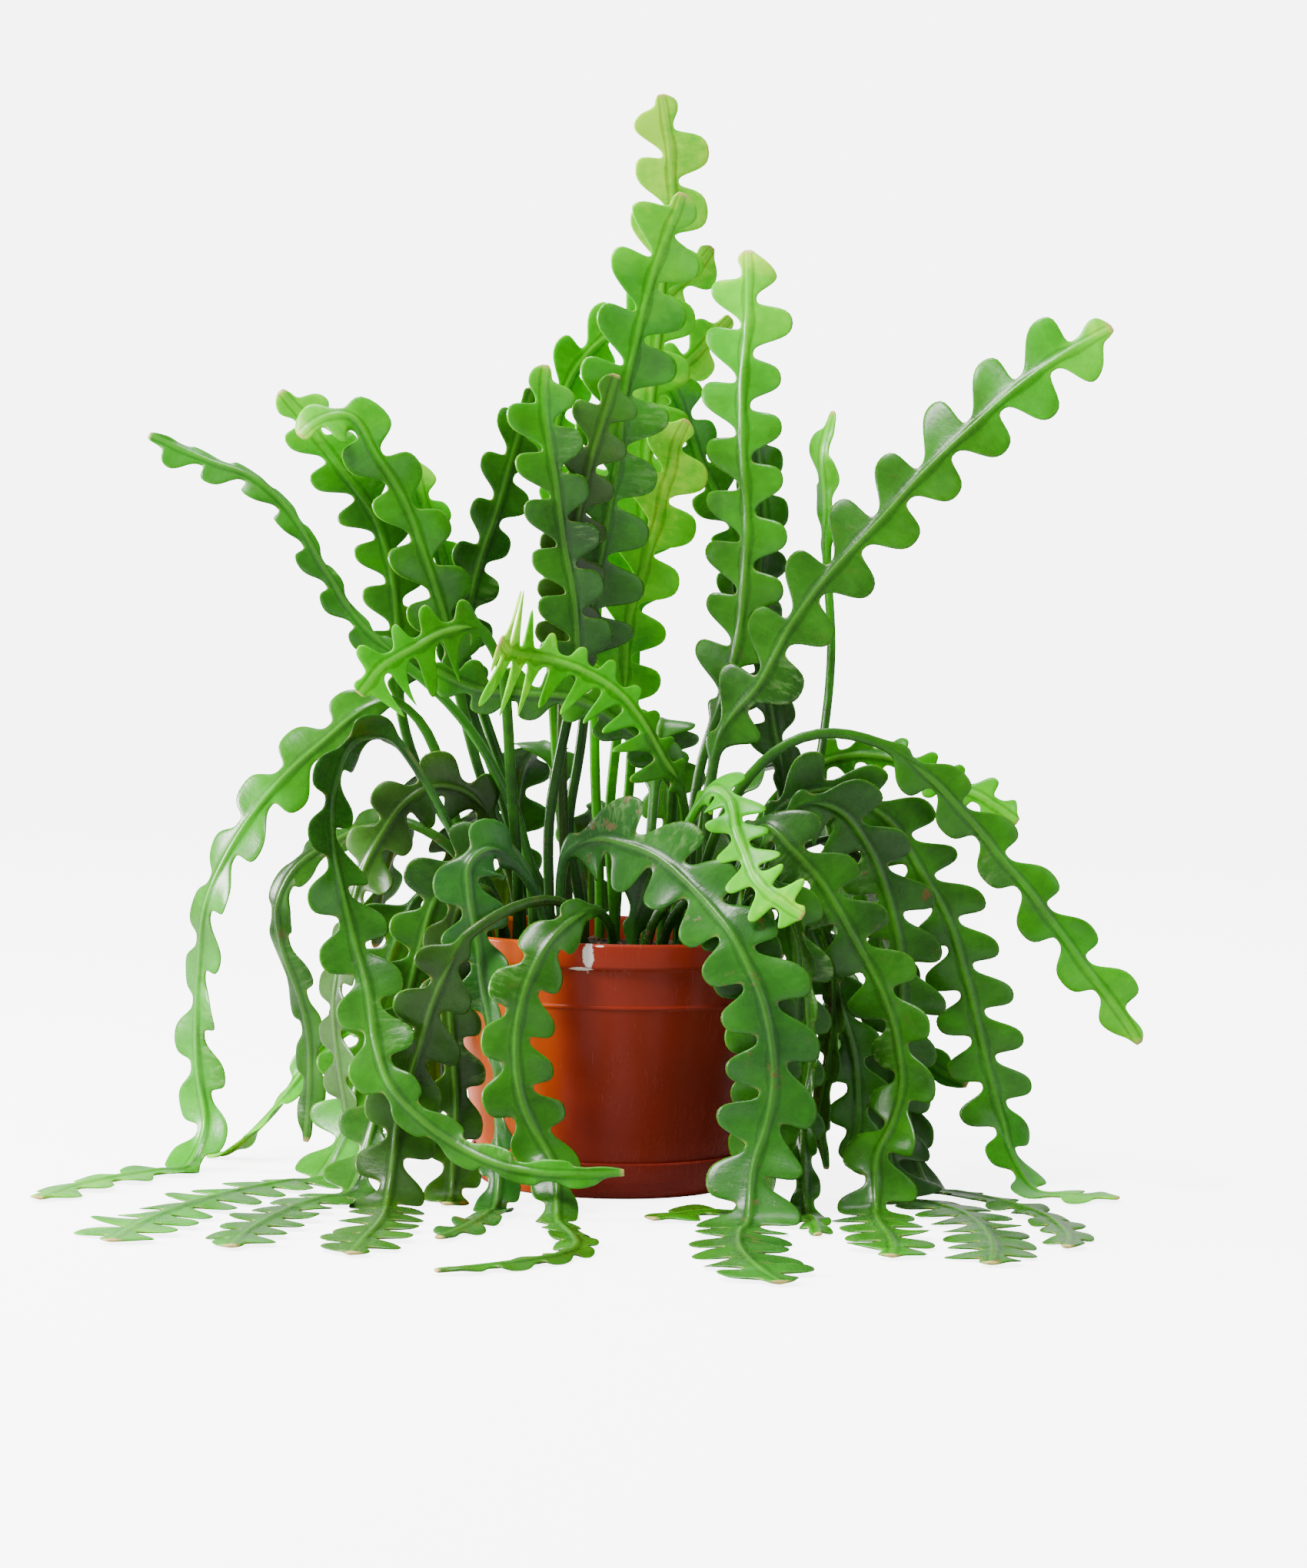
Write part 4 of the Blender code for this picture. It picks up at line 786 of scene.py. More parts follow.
# %% List the stems
STEMS = {
    "upright_01": dict(
        base=(0, 28), reach=21, pitch=28, stalk=175, turns=22, young=True,
        skin=(0.36, 0.66, 0.89, 0.99), full=1.1,
        route=[(6, 200, 30), (8, 300, 34), (10, 350, 36), (13, 405, 37), (16, 441, 38), (17, 468),
               (21, 500), (20, 512), (18, 530), (14, 551)]),
    "upright_02": dict(
        base=(-16, 0), reach=24, pitch=28, stalk=150, turns=18, skin=(0.14, 0.27, 0.6, 0.94),
        full=1.1,
        route=[(-25, 181, 0), (-20, 214), (-17, 245), (-17, 276), (-14, 302), (-11, 320),
               (-8, 340), (-3, 372), (-1, 399), (4, 425), (10, 453), (17, 476), (22, 489),
               (26, 502)]),
    "upright_03": dict(
        base=(0, 10), reach=22, pitch=28, stalk=125, turns=26, young=True,
        skin=(0.33, 0.66, 0.86, 0.97), full=1.1,
        route=[(-4, 180, 15), (-1, 225, 17), (2, 253), (3, 283), (10, 311), (18, 341), (22, 359),
               (28, 382), (31, 388)]),
    "upright_04": dict(
        base=(-24, -14), reach=17, pitch=22, stalk=140, turns=20, skin=(0.13, 0.19, 0.25, 0.61),
        hue=0.4,
        route=[(-28, 200, -14), (-29, 240), (-26, 295), (-25, 325), (-20, 355), (-12, 385),
               (-5, 410)]),
    "upright_05": dict(
        base=(-32, -28), reach=18, pitch=24, stalk=130, turns=16, skin=(0.13, 0.2, 0.31, 0.9),
        full=1.0,
        route=[(-34, 190, -29), (-29, 220), (-22, 262), (-24, 295), (-30, 325), (-35, 357),
               (-39, 378), (-42, 401), (-41, 414)]),
    "upright_06": dict(
        base=(-48, 28), reach=15, pitch=24, stalk=135, turns=26, skin=(0.15, 0.23, 0.31, 0.45),
        route=[(-60, 200, 26), (-74, 235, 25), (-80, 262, 24), (-78, 287), (-71, 319), (-66, 334),
               (-61, 352), (-55, 375), (-47, 402)]),
    "upright_07": dict(
        base=(40, 14), reach=21, pitch=27, stalk=125, turns=-20, skin=(0.13, 0.25, 0.6, 0.97),
        full=0.7,
        route=[(38, 180, 13), (43, 219, 12), (53, 248), (61, 287), (62, 303), (63, 338), (60, 373),
               (59, 404), (61, 443), (60, 474)]),
    "upright_08": dict(
        base=(64, 28), reach=14, pitch=26, stalk=95, turns=24, skin=(0.17, 0.25, 0.35, 0.56),
        hue=0.1,
        route=[(79, 165, 30), (84, 201, 32), (78, 235), (70, 275), (69, 315), (71, 337), (68, 365),
               (65, 392)]),
    "upright_09": dict(
        base=(-24, 42), reach=18, pitch=24, stalk=235, turns=28, young=True,
        skin=(0.24, 0.52, 0.78, 0.94),
        route=[(-30, 200, 46), (-36, 280, 54), (-38, 340, 58), (-35, 385, 60), (-28, 409),
               (-12, 428), (0, 436), (15, 448), (32, 462), (42, 475)]),
    "upright_10": dict(
        base=(40, 42), reach=16, pitch=24, stalk=170, turns=24, skin=(0.16, 0.3, 0.48, 0.72),
        route=[(46, 200, 44), (55, 250, 48), (61, 290, 50), (57, 335, 51), (47, 350), (38, 367),
               (30, 389), (17, 415)]),
    "upright_11": dict(
        base=(-8, 42), reach=15, pitch=24, stalk=220, turns=28, young=True,
        skin=(0.29, 0.63, 0.85, 0.95),
        route=[(-12, 220, 50), (-12, 300, 66), (-9, 340, 73), (5, 390, 76), (19, 408), (31, 418),
               (52, 440)]),
    "left_01": dict(
        base=(-40, -14), reach=13, pitch=23, stalk=170,
        turns=[(0, 0), (0.3, 46), (0.8, 50), (1, 36)], skin=(0.28, 0.42, 0.5, 0.66), hue=-0.2,
        upper=[(0, 0.7), (1, 0.5)],
        route=[(-46, 170, -16), (-58, 200, -19), (-76, 230, -21), (-95, 250, -22), (-112, 263),
               (-130, 278), (-151, 307), (-170, 337), (-190, 354), (-210, 361), (-241, 374)]),
    "left_02": dict(
        base=(-56, 14), reach=16, pitch=24, stalk=150, turns=16, skin=(0.17, 0.26, 0.5, 0.94),
        route=[(-64, 150, 18), (-82, 175, 23), (-98, 200, 25), (-110, 232), (-113, 275),
               (-118, 312), (-128, 339), (-138, 352), (-150, 367), (-163, 384), (-175, 398)]),
    "left_03": dict(
        base=(-40, 12), reach=18, pitch=30, stalk=150, turns=20, skin=(0.16, 0.25, 0.5, 0.92),
        route=[(-50, 160, 10), (-66, 195, 8), (-75, 222), (-82, 250), (-89, 283), (-100, 315),
               (-112, 345), (-126, 366, 7), (-141, 386, 2), (-157, 382, -6), (-165, 375, -10)]),
    "left_04": dict(
        base=(-40, 42), reach=13, pitch=22, stalk=180, turns=24, skin=(0.17, 0.27, 0.52, 0.9),
        route=[(-52, 190, 43), (-70, 240), (-84, 285), (-93, 320), (-102, 345), (-108, 366)]),
    "left_05": dict(
        base=(-48, -28), reach=27, pitch=16, stalk=175, young=True, skin=(0.15, 0.23, 0.4, 0.82),
        full=-0.7, upper=[(0, 1), (0.5, 0.6), (1, 0.5)],
        route=[(-50, 160, -36), (-54, 200, -45), (-57, 240, -52), (-61, 266, -55), (-73, 280, -57),
               (-89, 278, -60), (-105, 269, -63), (-120, 260, -66), (-132, 245, -67)]),
    "middle_01": dict(
        base=(32, -28), reach=23, pitch=15, stalk=95,
        widths=[(0, 0.8), (0.74, 1), (0.84, 1.4), (1, 1.3)], young=True,
        skin=(0.24, 0.34, 0.84, 1.0), full=-0.7,
        upper=[(0, 0.9), (0.5, 0.55), (0.8, 0.5), (0.9, 1)], front=(0.7, -0.7, 0.0),
        route=[(36, 175, -36), (32, 201, -46), (23, 215, -53), (9, 238, -58), (0, 248, -60),
               (-20, 260, -63), (-41, 266, -69), (-49, 267, -80), (-55, 268, -92),
               (-59, 270, -104), (-61, 274, -114)]),
    "middle_02": dict(
        base=(24, -14), reach=13, pitch=22, stalk=95, skin=(0.22, 0.3, 0.36, 0.46),
        route=[(28, 185, -28), (27, 208, -38), (13, 224, -42), (-3, 236, -44), (-20, 245),
               (-45, 247), (-74, 250), (-97, 260)]),
    "right_01": dict(
        base=(48, 0), reach=22, pitch=33, stalk=105, turns=-16, skin=(0.17, 0.27, 0.46, 0.86),
        full=0.5,
        route=[(46, 180, -2), (48, 211, -4), (54, 233), (70, 253), (87, 286), (105, 311),
               (130, 339), (150, 362), (174, 386), (198, 408), (221, 425), (245, 439)]),
    "right_02": dict(
        base=(56, 14), reach=12, pitch=28, stalk=225, turns=-58, skin=(0.22, 0.36, 0.62, 0.9),
        route=[(74, 150, 18), (92, 176, 23), (101, 209, 25), (105, 238), (107, 278), (104, 310),
               (102, 354), (100, 371), (105, 394)]),
    "right_03": dict(
        base=(40, -14), reach=14.5, pitch=33, stalk=180, skin=(0.24, 0.34, 0.5, 0.92), notch=0.85,
        route=[(46, 165, -18), (55, 190, -21), (68, 210, -23), (84, 225, -24), (107, 232),
               (131, 227), (155, 212), (174, 194), (195, 170), (215, 147), (232, 125), (247, 106),
               (260, 90), (269, 76)]),
    "right_04": dict(
        base=(56, 42), reach=11, pitch=17, stalk=110, young=True, skin=(0.22, 0.44, 0.64, 0.84),
        notch=1.0, full=-0.4,
        route=[(66, 170, 44), (80, 198), (100, 214, 42), (120, 220, 36), (142, 218, 28),
               (165, 208, 18), (185, 200, 10), (204, 188, 2)]),
    "right_05": dict(
        base=(56, -14), reach=20, pitch=24, stalk=80, skin=(0.22, 0.3, 0.52, 0.88),
        route=[(64, 160, -13), (78, 187, -11), (94, 199, -9), (109, 202, -8), (124, 197),
               (141, 184), (154, 163), (168, 141), (179, 110), (188, 77), (195, 51), (200, 34, -9),
               (204, 20, -12)],
        floor=[(216, -22), (234, -29), (257, -35)]),
    "right_06": dict(
        base=(56, -40), reach=16, pitch=24, stalk=75,
        route=[(64, 140, -42), (76, 153), (88, 149, -41), (97, 134), (105, 116), (115, 93),
               (123, 69), (126, 45), (126, 29), (122, 12)]),
    "right_07": dict(
        base=(64, -26), reach=21, pitch=25, stalk=90, skin=(0.2, 0.27, 0.34, 0.46), wave=1.7,
        scar=0.7,
        route=[(71, 160, -27), (82, 183, -28), (96, 195), (112, 192, -26), (126, 177, -24),
               (139, 148, -23), (145, 125), (147, 95), (146, 65), (143, 42, -24), (142, 22, -27)],
        floor=[(147, -46), (160, -70), (172, -96), (178, -130), (180, -165), (179, -205),
               (175, -240)]),
    "right_08": dict(
        base=(16, -28), reach=15, pitch=15, stalk=95, young=True, skin=(0.24, 0.52, 0.74, 0.92),
        notch=1.0, full=-0.4,
        route=[(28, 162, -45), (40, 190, -56), (49, 201, -64), (57, 196, -73), (61, 181, -82),
               (67, 166, -91), (72, 155, -99), (82, 146, -106), (96, 137, -112)]),
    "right_09": dict(
        base=(48, -28), reach=20, pitch=27, stalk=72,
        turns=[(0, 0), (0.38, 0), (0.5, 40), (0.6, 40), (1, 0)], skin=(0.2, 0.3, 0.4, 0.52),
        route=[(55, 155, -36), (64, 175, -45), (76, 183, -53), (89, 172, -60), (106, 153, -65),
               (123, 125, -69), (139, 97, -72), (147, 71, -74), (149, 50, -76), (145, 33, -78),
               (138, 18, -81)],
        floor=[(131, -96), (130, -118), (131, -145), (133, -175), (133, -205), (131, -226)]),
    "right_10": dict(
        base=(-24, -42), reach=23, pitch=28, stalk=58, skin=(0.22, 0.32, 0.4, 0.48), hue=-0.3,
        notch=1.7, wave=1.7, scar=0.6, full=0.9,
        route=[(-29, 146, -44), (-25, 166, -49), (-11, 174, -56), (5, 172, -64), (21, 166, -73),
               (36, 154, -83), (49, 141, -92), (59, 129, -100), (68, 113, -106), (76, 95, -110),
               (81, 75, -112), (83, 51, -114), (80, 30, -116), (74, 10, -121)],
        floor=[(68, -138), (64, -165), (62, -200), (64, -235), (70, -270), (78, -302)]),
    "right_11": dict(
        base=(16, -56), reach=19, pitch=28, stalk=75,
        route=[(22, 140, -62), (32, 149, -70), (44, 147, -80), (56, 136, -89), (66, 119, -95),
               (73, 93, -97), (78, 61, -98), (80, 34), (78, 17, -100)],
        floor=[(66, -108), (50, -110), (34, -120), (22, -136)]),
    "right_12": dict(
        base=(64, 0), reach=12, pitch=27, stalk=90,
        turns=[(0, 0), (0.2, 55), (0.45, 55), (0.6, 0)], skin=(0.2, 0.26, 0.32, 0.46), hue=0.1,
        wave=1.6,
        route=[(74, 150, 2), (90, 172, 6), (108, 177, 10), (124, 166, 11), (136, 145), (144, 120),
               (149, 90, 10), (151, 60, 8), (152, 38, 4), (154, 22, 0)],
        floor=[(162, -15), (177, -34), (194, -56), (206, -81), (214, -108), (217, -138),
               (218, -166), (214, -190)]),
    "right_13": dict(
        base=(32, -56), reach=8, pitch=22, stalk=80,
        turns=[(0, 0), (0.3, 65), (0.6, 65), (0.75, 0)],
        route=[(44, 140, -61), (60, 153, -70), (76, 154, -78), (89, 141, -83), (97, 118, -85),
               (100, 90), (102, 62), (99, 40), (99, 20, -88)],
        floor=[(97, -104), (99, -125), (100, -150), (100, -170)]),
    "right_14": dict(
        base=(40, -42), reach=9, pitch=25, stalk=80, turns=[(0, 0), (0.35, 55), (1, 55)],
        route=[(52, 146, -47), (68, 158, -52), (84, 157, -55), (99, 144, -56), (110, 122),
               (113, 95), (111, 62), (107, 34), (111, 8)]),
    "right_15": dict(
        base=(24, -42), reach=17, pitch=26, stalk=80,
        route=[(38, 146, -52), (56, 158, -62), (73, 156, -68), (86, 144, -70), (92, 124), (93, 98),
               (92, 63), (91, 30), (89, 10)]),
    "right_16": dict(
        base=(48, 28), reach=10, pitch=26, stalk=110,
        route=[(60, 160, 36), (78, 178, 43), (98, 180, 42), (116, 168, 39), (130, 145, 36),
               (139, 115, 33), (148, 80, 30), (161, 64, 27), (182, 53, 22)]),
    "trail_left_01": dict(
        base=(-64, 0), reach=16, pitch=33, stalk=150,
        turns=[(0, 0), (0.4, 20), (0.5, 50), (0.62, 50), (0.74, 0)], skin=(0.26, 0.46, 0.62, 0.86),
        route=[(-72, 150, -2), (-84, 190, -4), (-96, 225, -6), (-110, 243, -8), (-126, 239, -9),
               (-150, 220), (-170, 201), (-185, 182), (-198, 160, -7), (-207, 138, -2),
               (-210, 106, 6), (-211, 80, 11), (-210, 52, 13), (-206, 22, 10)],
        floor=[(-214, -2), (-228, -20), (-244, -42), (-257, -66), (-267, -92), (-273, -115)]),
    "trail_left_02": dict(
        base=(-56, -14), reach=10, pitch=30, stalk=95, turns=[(0, 0), (0.4, 40), (1, 40)],
        skin=(0.2, 0.28, 0.36, 0.46), hue=0.1, scar=0.5,
        route=[(-66, 145, -14), (-82, 167, -12), (-102, 180, -9), (-122, 179, -4), (-144, 169, 2),
               (-163, 155, 7), (-171, 137, 10), (-168, 116, 11), (-159, 92), (-154, 73),
               (-153, 45), (-155, 16)]),
    "trail_left_03": dict(
        base=(-64, -28), reach=19, pitch=30, stalk=125,
        widths=[(0, 1), (0.66, 1), (0.78, 0.45), (1, 0.35)],
        turns=[(0, 0), (0.18, -60), (0.46, -66), (0.58, -10), (0.64, 0), (1, 0)],
        skin=(0.22, 0.3, 0.4, 0.62), hue=-0.1, wave=1.5,
        route=[(-74, 152, -34), (-86, 182, -42), (-102, 208, -49), (-118, 225, -54),
               (-134, 222, -58), (-144, 200, -62), (-145, 170, -66), (-139, 143, -72),
               (-131, 115, -81), (-124, 92, -91), (-120, 68, -99), (-112, 46, -107),
               (-96, 29, -114), (-77, 16, -120), (-56, 7, -128), (-34, 3, -134), (-12, 3, -136),
               (8, 4)]),
    "trail_left_04": dict(
        base=(-64, 28), reach=9, pitch=26, stalk=75, turns=[(0, 0), (0.4, 30), (0.9, 0)],
        young=True, skin=(0.36, 0.58, 0.78, 0.92),
        route=[(-71, 142, 31), (-84, 143, 35), (-96, 127, 38), (-105, 108, 40), (-116, 92, 41),
               (-129, 80, 42), (-148, 65), (-160, 47), (-174, 29), (-188, 15, 43)],
        floor=[(-201, 48), (-214, 51), (-224, 53)]),
    "trail_left_05": dict(
        base=(-48, 0), reach=17, pitch=24, stalk=75, turns=[(0, 0), (0.5, 0), (0.65, 55), (1, 55)],
        skin=(0.16, 0.2, 0.26, 0.36), hue=0.3,
        route=[(-54, 160, -6), (-64, 184, -14), (-78, 197, -22), (-94, 199, -29), (-108, 190, -34),
               (-119, 174, -37), (-129, 152, -38), (-135, 125), (-141, 92), (-139, 62),
               (-133, 26)]),
    "trail_left_06": dict(
        base=(-56, 42), reach=23, pitch=26, stalk=85, skin=(0.28, 0.44, 0.58, 0.74),
        route=[(-66, 145, 39), (-82, 155, 33), (-98, 145, 24), (-110, 122, 15), (-118, 95, 7),
               (-124, 70, 0), (-129, 45, -6), (-135, 20, -14)],
        floor=[(-145, -27), (-160, -47), (-176, -73), (-190, -102), (-201, -132), (-210, -165),
               (-217, -200), (-222, -232)]),
    "trail_left_07": dict(
        base=(-40, -42), reach=19, pitch=25, stalk=72,
        route=[(-42, 148, -45), (-49, 168, -49), (-62, 171, -52), (-76, 162, -54), (-90, 144, -55),
               (-98, 118, -56), (-104, 92), (-112, 60), (-118, 36, -57), (-121, 22, -60)],
        floor=[(-126, -76), (-137, -96), (-147, -122), (-155, -152), (-161, -185), (-165, -215),
               (-167, -240)]),
    "trail_left_08": dict(
        base=(-16, -56), reach=19, pitch=26, stalk=108, skin=(0.16, 0.2, 0.32, 0.46), hue=0.2,
        route=[(-15, 132, -60), (-19, 140, -66), (-31, 144, -75), (-44, 142, -84), (-58, 136, -92),
               (-72, 127, -96), (-82, 111, -97), (-91, 90, -95), (-97, 68, -91), (-103, 46, -88),
               (-108, 28, -86), (-109, 16, -88)],
        floor=[(-106, -104), (-105, -128), (-105, -160), (-107, -195), (-110, -228),
               (-112, -252)]),
    "trail_left_09": dict(
        base=(0, -58), reach=18, pitch=25, stalk=45,
        widths=[(0, 0.35), (0.12, 0.42), (0.23, 0.85), (0.3, 1), (0.4, 1), (0.55, 0.6), (1, 0.5)],
        skin=(0.22, 0.34, 0.4, 0.48), notch=1.7, wave=1.9, full=0.9,
        route=[(-2, 133, -67), (-10, 138, -79), (-21, 133, -91), (-33, 121, -100),
               (-42, 104, -105), (-48, 80, -106), (-48, 55, -107), (-43, 34, -109),
               (-33, 16, -113), (-28, 6, -118)],
        floor=[(-23, -136), (-20, -165), (-15, -190), (-12, -215), (-16, -240), (-32, -262),
               (-55, -280), (-72, -292)]),
    "trail_left_10": dict(
        base=(-32, -56), reach=18, pitch=27, stalk=62,
        widths=[(0, 1), (0.36, 1), (0.46, 0.6), (1, 0.55)],
        turns=[(0, 0), (0.38, 0), (0.5, 70), (0.62, 70), (0.74, 0)], skin=(0.22, 0.29, 0.33, 0.4),
        hue=-0.4, wave=1.8,
        route=[(-38, 142, -62), (-50, 160, -69), (-64, 168, -77), (-74, 161, -83), (-74, 145, -86),
               (-70, 125), (-66, 100), (-61, 75), (-58, 50), (-57, 28, -87), (-56, 13, -91)],
        floor=[(-53, -108), (-56, -132), (-61, -158), (-68, -182), (-76, -204)]),
    "trail_left_11": dict(
        base=(-56, -42), reach=14, pitch=25, stalk=50, skin=(0.16, 0.18, 0.24, 0.36), hue=0.3,
        route=[(-58, 139, -52), (-67, 147, -62), (-77, 140, -70), (-83, 120, -74), (-83, 95),
               (-80, 60, -73), (-78, 32, -72), (-79, 15, -73)],
        floor=[(-76, -87), (-77, -104)]),
    "front_01": dict(
        base=(10, -44), reach=15, pitch=30, stalk=14, skin=(0.18, 0.24, 0.28, 0.32), hue=-0.2,
        route=[(12, 140, -46), (16, 153, -47), (20, 166)]),
}

BACK_STEMS = {
    "back_01": dict(base=(32, 56), bearing=38, top=215, out=150, end=45, lie=0),
    "back_02": dict(base=(24, 42), bearing=58, top=182, out=128, end=20, lie=80),
    "back_03": dict(base=(16, 56), bearing=78, top=236, out=142, end=62, lie=0),
    "back_04": dict(base=(0, 56), bearing=97, top=190, out=122, end=20, lie=115),
    "back_05": dict(base=(-16, 56), bearing=114, top=222, out=145, end=50, lie=0),
    "back_06": dict(base=(-32, 56), bearing=134, top=186, out=132, end=20, lie=70),
    "back_07": dict(base=(-48, 52), bearing=152, top=205, out=138, end=110, lie=0),
}
BACK_SHAPE = dict(reach=18, pitch=26, stalk=90)
print("stems in front:", len(STEMS), "behind:", len(BACK_STEMS))

# %% [markdown]
# ## From a route to a curve
# The points are joined by a Hermite curve, whose slope at each point comes from its two
# neighbours, weighted by how near they are. It passes through every point and doesn't
# overshoot where the points are unevenly spaced, which a plain B-spline would. The way the
# blade faces is carried along the curve from the tip, so that it turns evenly through the
# bends: towards the viewer while the stem stands or hangs, and upwards where it lies.

# %% Turn a table row into points in space
FLOOR_REST = 2.3
STALK_RISES = (-POCKET_DEPTH, CLEAR_RISE, 10.0)
ARCH_SHAPE = ((0.22, 0.62), (0.5, 0.97), (0.78, 0.86), (0.95, 0.5))  # shares of reach, height
HANG_SHARES = (0.35, 0.7, 1.0)
LIE_SHARES = (0.22, 0.6, 1.0)


def seen_point(across, up, depth):
    spread = (depth - EYE.y) / -EYE.y
    return Vector((EYE.x + (across - EYE.x) * spread, depth, EYE.z + (up - EYE.z) * spread))


def stem_points(base, route, floor):
    x, y = base
    ground = soil_top(math.hypot(x, y))
    points = [Vector((x, y, ground + rise)) for rise in STALK_RISES]
    for across, up, *depths in route:
        depth = depths[0] if depths else depth
        points.append(seen_point(across, up, depth))
    return points + [Vector((px, py, FLOOR_REST)) for px, py in floor]


def back_points(base, bearing, top, out, end, lie):
    """An arch over the rim along a bearing, hanging down behind the pot and then lying."""
    x, y = base
    ground = soil_top(math.hypot(x, y))
    along = Vector((math.cos(math.radians(bearing)), math.sin(math.radians(bearing)), 0.0))
    foot = Vector((x, y, 0.0))
    start = foot.dot(along)
    points = [foot + Vector((0.0, 0.0, ground + rise)) for rise in STALK_RISES]
    rise = top - ground
    for share, height in ARCH_SHAPE:
        reach = start + share * (out - start)
        side = foot.lerp(along * start, min(1.0, share * 1.6))
        points.append(side + along * (reach - start) + Vector((0, 0, ground + rise * height)))
    drop = ground + rise * ARCH_SHAPE[-1][1] - end
    for share in HANG_SHARES:
        lean = out + 5.0 * share
        points.append(along * lean + Vector((0, 0, end + drop * (1.0 - share))))
    for share in LIE_SHARES if lie else ():
        points.append(along * (out + 6.0 + lie * share) + Vector((0, 0, FLOOR_REST)))
    return points


# %% Make the curve helpers
SPAN_STEPS = 12
HEADING_REACH = 3.0
FLOOR_BLEND_Z = 38.0
FLOOR_BLEND_FALL = 26.0
FRAME_STEP = 2.0
FRAME_FOLLOW = 0.12


def smooth_share(value):
    value = np.clip(value, 0.0, 1.0)
    return value * value * (3.0 - 2.0 * value)


def unit(rows):
    return rows / np.linalg.norm(rows, axis=-1, keepdims=True)


def read_along(s, stations, rows):
    return np.stack([np.interp(s, stations, rows[:, k]) for k in range(3)], axis=-1)


class Route:
    """A smooth curve through chosen points, read by length along it."""

    def __init__(self, points):
        spots = np.array([tuple(p) for p in points])
        spans = np.linalg.norm(np.diff(spots, axis=0), axis=1)[:, None]
        pace = np.diff(spots, axis=0) / spans
        inner = (pace[:-1] * spans[1:] + pace[1:] * spans[:-1]) / (spans[1:] + spans[:-1])
        slopes = np.vstack((pace[:1], inner, pace[-1:]))
        self.line = [spots[0]]
        for i, span in enumerate(spans):
            for t in np.linspace(0.0, 1.0, SPAN_STEPS + 1)[1:]:
                rise = 3 * t ** 2 - 2 * t ** 3
                bend = (t ** 3 - 2 * t ** 2 + t) * slopes[i] + (t ** 3 - t ** 2) * slopes[i + 1]
                self.line.append((1.0 - rise) * spots[i] + rise * spots[i + 1] + span * bend)
        self.line = np.array(self.line)
        steps = np.linalg.norm(np.diff(self.line, axis=0), axis=1)
        self.run = np.concatenate(([0.0], np.cumsum(steps)))
        self.length = float(self.run[-1])

    def at(self, s):
        return read_along(s, self.run, self.line)

    def heading(self, s):
        return unit(self.at(np.minimum(s + HEADING_REACH, self.length))
                    - self.at(np.maximum(s - HEADING_REACH, 0.0)))


class Facing:
    """The way a blade faces at each length along its route."""

    def __init__(self, route, front, lies, turns):
        self.stations = np.linspace(0.0, route.length, int(route.length / FRAME_STEP) + 2)
        headings = route.heading(self.stations)
        heights = route.at(self.stations)[:, 2]
        down = smooth_share((FLOOR_BLEND_Z - heights) / FLOOR_BLEND_FALL) * float(lies)
        turned = np.interp(self.stations / route.length, *zip(*turns)) * (1.0 - down)
        faces = []
        face = None
        for k in range(len(self.stations) - 1, -1, -1):
            heading = Vector(headings[k])
            wanted = front.lerp(Vector((0.0, 0.0, 1.0)), float(down[k]))
            wanted -= heading * wanted.dot(heading)
            if face is None:
                face = wanted.normalized()
            if wanted.dot(face) < 0.0:
                wanted.negate()
            face = face - heading * face.dot(heading) + wanted * FRAME_FOLLOW
            face.normalize()
            faces.append(Matrix.Rotation(math.radians(float(turned[k])), 3, heading) @ face)
        self.faces = np.array([tuple(f) for f in faces[::-1]])

    def at(self, s, heading):
        face = read_along(s, self.stations, self.faces)
        return unit(face - heading * np.sum(face * heading, axis=-1, keepdims=True))


print("curve helpers ready")

# %% [markdown]
# ## The outline of a lobe
# A lobe leaves its notch along the rib, sweeps out in an S, rounds over, and comes back
# steeply to the next notch, where the plant has its tiny areole. Ten points give that
# outline, and the subdivision smooths it. The lobes of the two sides alternate, so row k of
# the ribbon is point k on one side and point k + 5 on the other. A sine wave would be
# simpler, but it has the same slope on both sides of a lobe, and the real one doesn't.

# %% Describe one lobe
LOBE_ALONG = (0.00, 0.13, 0.25, 0.345, 0.42, 0.505, 0.61, 0.76, 0.89, 0.945)
LOBE_OUT = (0.00, -0.01, 0.015, 0.24, 0.60, 0.94, 1.09, 1.07, 0.88, 0.40)
LOBE_FULLER = (0.0, 0.05, 0.10, 0.12, 0.115, 0.095, 0.055, 0.0, -0.03, -0.022)
ROWS = len(LOBE_ALONG)
LEAN = {-1.0: 0.28, 1.0: -0.03}  # how far a lobe leans to the tip: lower side, upper side
STALK_ROW_LENGTH = 17.0
NOTCH_HALF_WIDTH = 4.0
STALK_HALF_WIDTH = 2.7
TIP_HALF_WIDTH = 1.6
LAST_ROW_GAP = 1.2
GROW_IN = 0.8  # shares of a lobe's pitch
FADE_OUT = 0.85
FADE_LEAST = 0.35


def ribbon_rows(length, stalk, pitch):
    """Lengths of the rows along the rib, and the outline point that each stands for."""
    bare = np.linspace(0.0, stalk, max(3, int(round(stalk / STALK_ROW_LENGTH))) + 1)[:-1]
    count = int((length - LAST_ROW_GAP - stalk) / pitch * ROWS) + 1
    lobed = stalk + pitch * np.arange(count) / ROWS
    rows = np.concatenate((bare, lobed, [length]))
    index = np.concatenate((bare * 0.0 - 1.0, np.arange(count), [count])).astype(int)
    return rows, index


def lobe_and_point(index, sign):
    """Which lobe of its side a row belongs to, and which point of the outline it is."""
    return np.divmod(np.maximum(index, 0) + (0 if sign > 0 else ROWS // 2), ROWS)


